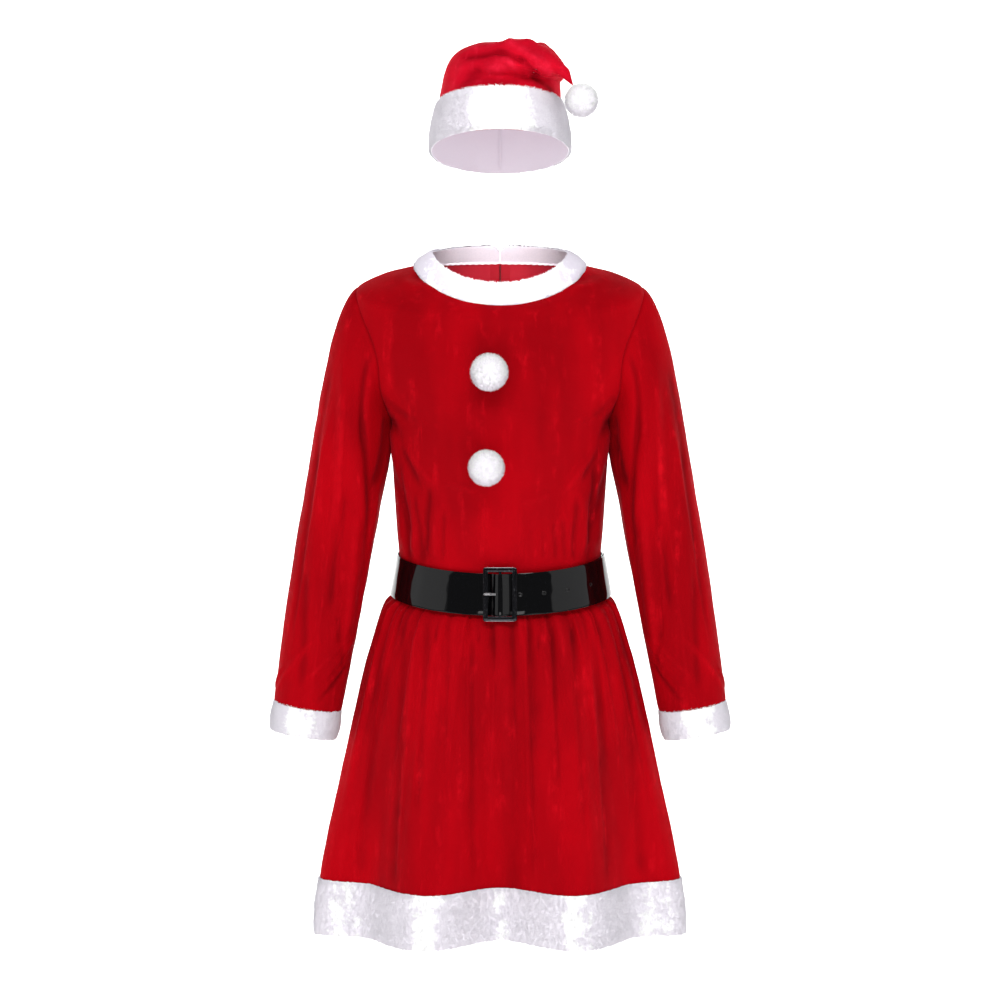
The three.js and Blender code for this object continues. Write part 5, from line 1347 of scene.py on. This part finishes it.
# %% Zip coil
def coil(name, radius, pitch, wire):
    """A wire wound along the zip: a flattened helix whose centre follows the inner side of the tape."""
    line = zip_line(TAPE_THICK + radius, [0.0])[:, 0]
    distance = np.concatenate([[0], np.cumsum(np.linalg.norm(np.diff(line, axis=0), axis=-1))])
    turns = distance[-1] / pitch
    s = np.linspace(0, distance[-1], int(turns * 8))
    centre = np.stack([np.interp(s, distance, line[:, k]) for k in range(3)], -1)
    off = unit(np.stack([np.interp(s, distance, back_left["normals"][ZIP_ROWS, 0][:, k]) for k in range(3)], -1))
    phase = (s / pitch * 2 * np.pi)[:, None]
    radial = np.cos(phase) * np.array([1.0, 0, 0]) * 1.5 + np.sin(phase) * off * 0.6
    path = centre + radial * radius
    tangent = unit(np.gradient(path, axis=0))
    side = unit(np.cross(tangent, off))
    up = np.cross(tangent, side)
    around = np.linspace(0, 2 * np.pi, 5)[:-1]
    ring = np.cos(around)[None, :, None] * side[:, None] + np.sin(around)[None, :, None] * up[:, None]
    points = (path[:, None] + wire * ring).reshape(-1, 3)
    faces, _ = facing_out(points, grid_faces(len(path), 4, True)[0])
    return new_piece(name, points, faces, None, DARK_COIL, 180)


zip_coil = coil("zip_coil", 0.9, 1.5, 0.28)
wear("tape", zip_coil)
print("coil", len(zip_coil.data.polygons), "faces")

# %% Place of the slider
top, foot = back_right["base"][NECK_ROW, -1], section_point(row_at(BODICE, "z", -8.0), np.pi, -8.0)
up_back = unit((top - foot) * np.array([0, 1, 1]))
off_back = np.array([0, up_back[2], -up_back[1]])
slider_seat = (foot + top) / 2 * np.array([0, 1, 1])


def on_back(points):
    """Points given as (x, -distance off the back, distance up the back), placed at the slider."""
    return (slider_seat + points[..., :1] * np.array([1.0, 0, 0]) - points[..., 1:2] * off_back
            + points[..., 2:] * up_back)


print("slider at", slider_seat.round(1))

# %% Slider and pull
slider_path = np.stack([np.zeros(16), np.full(16, -1.3), np.linspace(-5, 5, 16)], -1)
slider = bar_piece("zip_slider_body", slider_path, (1, 0, 0), 7, 2, DARK_METAL, on_back)
arch = np.linspace(0, np.pi, 22)
bridge_path = np.stack([np.zeros(22), -2.1 - 3.5 * np.sin(arch) ** 0.5, -3.2 * np.cos(arch)], -1)
bridge = bar_piece("zip_slider_bridge", bridge_path, (1, 0, 0), 1.8, 1.0, DARK_METAL, on_back)
PULL_AXIS = 0.3 + 2 + (3.7 - 1.1) / 2


def pull_outline(wide, top, bottom, corner):
    """A tab's outline as (x, z): a rounded rectangle from its top to its bottom."""
    return rounded_rectangle(wide, top - bottom, corner) + np.array([0, (top + bottom) / 2])


pull_tab = frame_piece("zip_pull_tab", pull_outline(6, 0.6, -24, 2.6), pull_outline(3.8, -0.6, -6.4, 0.5),
                       PULL_AXIS - 0.6, PULL_AXIS + 0.6, DARK_METAL, on_back)
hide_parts("zip_slider")
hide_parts("zip_pull")
wear("zip_metal", slider, bridge)
wear("zip_metal", pull_tab, body="pull")
print("pull turns about", [round(float(x), 3) for x in on_back(np.array([0, -PULL_AXIS, 0.0]))])

# %% [markdown]
# ## Hat
#
# A plush band goes round the head, and the velvet crown folds over towards the right of the front and ends in the
# pompom. The crown's rings fan out about the fold's line like the leaves of a book. A smooth curve through the
# rings of each column gives the cloth between them.

# %% Hat band
def hat_band_point(share, angle, lift=0.0):
    """A tilted oval that narrows from the lower to the upper edge."""
    half, depth, z, tilt = (a + (b - a) * share for a, b in ((86, 76.5), (102, 89), (141, 199), (18, 13)))
    c = np.cos(angle)
    return np.stack(np.broadcast_arrays(half * np.sin(angle), -depth * c, z + tilt * c + lift), -1)


band_base = hat_band_point(np.linspace(0, 1, 25)[:, None], np.linspace(0, 2 * np.pi, 193)[None, :-1])
band_normals = normals_of(band_base, True)
skin, lining = plush_skins(band_base, band_normals, 5.6, HAT_PILE, 80, 1.0)
hat_band = shell("plush_hat_band", skin, lining, True, WHITE_PLUSH, (540, 62), PLUSH_LINING,
                 towards_lamp(band_normals))
hat_pile = pile("hat_band_pile", skin, band_normals, 1.1, HAT_PILE, 81, True)
cloth(hat_band, "hat_band", area_of(skin, True), "plush", [hat_pile])

# %% Seams inside the hat
seam_path = hat_band_point(np.linspace(0.03, 0.97, 30), np.pi) + np.array([0, -2.2, 0])
band_seam = bar_piece("hat_band_seam", seam_path, (1, 0, 0), 2.4, 1.2, PLUSH_LINING, np.asarray)
edge_path = hat_band_point(0.02, np.linspace(-0.36, 0.36, 60)) + np.array([0, 2.4, -0.4])
edge_path[:, 2] += 0.5 * np.sin(np.arange(60) * 1.9)
band_edge = bar_piece("hat_band_serged_edge", edge_path, (0, 0, 1), 2.2, 1.4, VELVET_REVERSE, np.asarray)
wear("plush", band_seam, band_edge)
print("lining seam and serged edge", len(band_seam.data.polygons) + len(band_edge.data.polygons), "faces")

# %% Hat crown tables
FOLD_TURN, FOLD_REACH, FOLD_Z = math.radians(-42), 88, 224
CROWN = table(
    "turn near far across slide",
    (0, 14, 159, 74, 0), (10, 11, 150, 73, 0), (19, 8, 134, 69, 0), (30, 5, 101, 60, -2), (43, 3, 71, 46, -9),
    (60, 3, 53, 35, -14), (80, 3, 42, 28, -16), (102, 3, 34, 23, -17), (126, 4, 30, 18, -16),
    (150, 7, 28, 13, -13), (166, 13, 29, 9, -7))
CROWN_TIP = np.array([89.2, -75.1, 212.7])
CROWN_FOLDS = table(LINE_FOLD, (-72, 8, -18, 66, 9, 5), (64, 6, 22, 60, 9, 4.5), (4, 26, 2, 76, 8, -4))
# Creases by their place seen from the front. The folds above go by the place across a ring and the ring's turn
CROWN_CREASES = table(
    LINE_FOLD,
    (-37, 250, 0, 254, 4.5, -2.6), (0, 254, 25, 243, 4.2, -3.2), (25, 243, 43, 227, 3.8, -3.2),
    (43, 227, 61, 213, 3.4, -2.0), (61, 213, 73, 199, 3, -1.4), (-30, 258, 10, 262, 4.5, 2.0),
    (14, 262, 50, 240, 5, 2.4), (50, 240, 74, 214, 5, 2.0), (-12, 234, 12, 240, 9, 2.6), (6, 244, 22, 232, 4, 1.8),
    (-46, 212, -28, 232, 8, -2.2), (-2, 212, 30, 222, 10, -1.6), (-60, 204, -46, 236, 5, 1.6),
    (26, 216, 46, 206, 5, 1.6))
print("crown", len(CROWN["turn"]), "rings,", len(CROWN_CREASES["x0"]), "creases")

# %% Hat crown rings
out_way = np.array([math.cos(FOLD_TURN), math.sin(FOLD_TURN), 0])
side_way = np.array([-out_way[1], out_way[0], 0])
crown_angles = np.linspace(0, 2 * np.pi, 161)[:-1]
compass = np.stack([np.sin(crown_angles), -np.cos(crown_angles), 0 * crown_angles], -1)
on_away, on_side = -(compass @ out_way), compass @ side_way


def crown_ring(turn, near, far, across, slide):
    """An oval in the plane that leans by its turn about the fold's line, from near the line to far from it, and
    moved along the line by its slide."""
    away = -out_way * math.cos(math.radians(turn)) + np.array([0, 0, math.sin(math.radians(turn))])
    centre = out_way * FOLD_REACH + np.array([0, 0, FOLD_Z]) + away * (near + far) / 2 + side_way * slide
    return centre + away * (on_away * (far - near) / 2)[:, None] + side_way * (on_side * across)[:, None]


def through_rows(rings, per_row):
    """A cubic curve through the rings of each column, at equal steps from ring to ring."""
    last = len(rings) - 1
    s = np.linspace(0, last, last * per_row + 1)
    i = np.clip(s.astype(int), 0, last - 1)
    slope = np.gradient(rings, axis=0)
    return cubic(rings[i], rings[i + 1], slope[i], slope[i + 1], (s - i).reshape(-1, *[1] * (rings.ndim - 1)))


RINGS_A_ROW = 9
crown_rows = list(zip(*CROWN.values()))
rings = np.stack([hat_band_point(1, crown_angles, SEAM_GAP)] + [crown_ring(*row) for row in crown_rows]
                 + [CROWN_TIP + 0.02 * (crown_ring(*crown_rows[-1]) - CROWN_TIP)])
crown_base = through_rows(rings, RINGS_A_ROW)
crown_turn = through_rows(np.array([0, *CROWN["turn"], 172])[:, None], RINGS_A_ROW)
crown_across = through_rows(np.array([75, *CROWN["across"], 0.5])[:, None], RINGS_A_ROW)
crown_normals = normals_of(crown_base, True)
print("crown grid", crown_base.shape[:2])

# %% Hat crown
relief = line_folds(CROWN_FOLDS, on_side * crown_across, crown_turn + 0 * on_side) * np.maximum(0, on_away + 0.2)
seen_from_front = smoothstep(-crown_normals[..., 1], -0.3, 0.3)
# The creases shape the crown, and their depth is kept for painted shade in them and painted highlights on their
# ridges, only where the crown faces the front.
crown_fold = line_folds(CROWN_CREASES, crown_base[..., 0], crown_base[..., 2]) * seen_from_front
relief += crown_fold + 0.8 * ripple(crown_base, 30, 90)
row_number = np.arange(len(crown_base))[:, None]
relief *= smoothstep(row_number, 0, 12) * smoothstep(len(crown_base) - 1 - row_number, 0, 12)
crown_outer = pushed(crown_base, crown_normals, relief)
crown_inner = pushed(crown_outer, crown_normals, -1.6 * smoothstep(len(crown_base) - row_number, 0, 8))
hat_crown = shell("velvet_hat_crown", crown_outer, crown_inner, True, HAT_VELVET, (520, 320), HAT_REVERSE,
                  crown_fold)
cloth(hat_crown, "hat_crown", area_of(crown_outer, True), "velvet")

# %% [markdown]
# ## Stage and light
#
# The photograph is a plain studio picture on white. A large pale sheet is both floor and backdrop, curved up
# behind the dress. Two broad soft boxes light the sides, and a third one above keeps the hat and the shoulders
# bright. A weak one behind the camera and a small one on the neck fill the inside of the collar. One behind the
# dress lights its back for the other views. The world stays dim, so that the patent has something dark to mirror,
# and only the camera sees it white.

# %% Backdrop
WALL_Y, WALL_TOP, BEND, REACH, FLOOR_Z = 5200, 7000, 1000, 9000, -1150


def backdrop():
    """A profile carried sideways: level floor, a quarter circle of one metre, then an upright wall. The wall
    stands beyond the cameras of the other views."""
    turn = np.linspace(0, np.pi / 2, 24)
    bend = np.stack([WALL_Y - BEND + BEND * np.sin(turn), BEND - BEND * np.cos(turn)], -1)
    profile = np.concatenate([[[-REACH, 0]], bend, [[WALL_Y, WALL_TOP]]])
    x = np.array([[-REACH, REACH]])
    grid = np.stack(np.broadcast_arrays(x, profile[:, :1], profile[:, 1:] + FLOOR_Z), -1)
    return new_piece("backdrop", grid.reshape(-1, 3), grid_faces(*grid.shape[:2], False)[0], None, None, 180)

sweep = backdrop()
paper = bpy.data.materials.new("white_paper")
paper.use_nodes = True
shader = paper.node_tree.nodes["Principled BSDF"]
shader.inputs["Base Color"].default_value = (0.95, 0.95, 0.95, 1)
shader.inputs["Roughness"].default_value = 0.9
shader.inputs["Emission Color"].default_value = (1, 1, 1, 1)
shader.inputs["Emission Strength"].default_value = 0.85
sweep.data.materials.append(paper)
print("wall", WALL_Y * MM, "m behind the dress")


# %% Lights
def soft_box(name, place, aim, wide, tall, power):
    """An area light that faces a point."""
    light = bpy.data.lights.new(name, "AREA")
    light.shape, light.size, light.size_y, light.energy = "RECTANGLE", wide, tall, power
    box = bpy.data.objects.new(name, light)
    box.location = place
    box.rotation_euler = (Vector(aim) - Vector(place)).to_track_quat("-Z", "Y").to_euler()
    bpy.context.scene.collection.objects.link(box)
    return box


lights = [soft_box(*row) for row in (
    ("left_box", (-2.8, -0.9, 0.8), (0, 0, -0.1), 3.2, 2.8, 26),
    ("right_box", (2.8, -0.9, 0.8), (0, 0, -0.1), 3.2, 2.8, 24),
    ("top_box", (0, -2.5, 2.1), (0, 0, 0), 3.0, 1.2, 74),
    ("front_fill", (0, -3.4, -0.1), (0, 0, 0), 2.2, 0.7, 16),
    ("neck_light", (0, -1.3, 0.16), (0, 0.06, 0.016), 0.1, 0.1, 0.06),
    ("backdrop_box_left", (-3.4, 2.9, 1.6), (0, 5.2, 0.0), 1.2, 2.4, 60),
    ("backdrop_box_right", (3.4, 2.9, 1.6), (0, 5.2, 0.0), 1.2, 2.4, 60),
    ("back_box", (0, 2.6, 2.3), (0, 0, -0.2), 2.6, 1.0, 40))]
bpy.data.lights["neck_light"].spread = math.radians(9)
print("lights", {light.name: light.data.energy for light in lights})

# %% World
world = bpy.context.scene.world or bpy.data.worlds.new("world")
bpy.context.scene.world = world
world.use_nodes = True
room = world.node_tree
dim, pale = room.nodes["Background"], room.nodes.new("ShaderNodeBackground")
dim.inputs["Color"].default_value, dim.inputs["Strength"].default_value = (0.95, 0.97, 1.0, 1), 0.15
pale.inputs["Color"].default_value, pale.inputs["Strength"].default_value = (1, 1, 1, 1), 1.0
seen = node(room, "ShaderNodeMixShader", [(0, node(room, "ShaderNodeLightPath").outputs["Is Camera Ray"]),
                                          (1, dim.outputs[0]), (2, pale.outputs[0])])
room.links.new(seen.outputs[0], room.nodes["World Output"].inputs["Surface"])
bpy.context.scene.view_settings.view_transform = "Standard"
print("world strength", [round(shade.inputs["Strength"].default_value, 2) for shade in (dim, pale)])
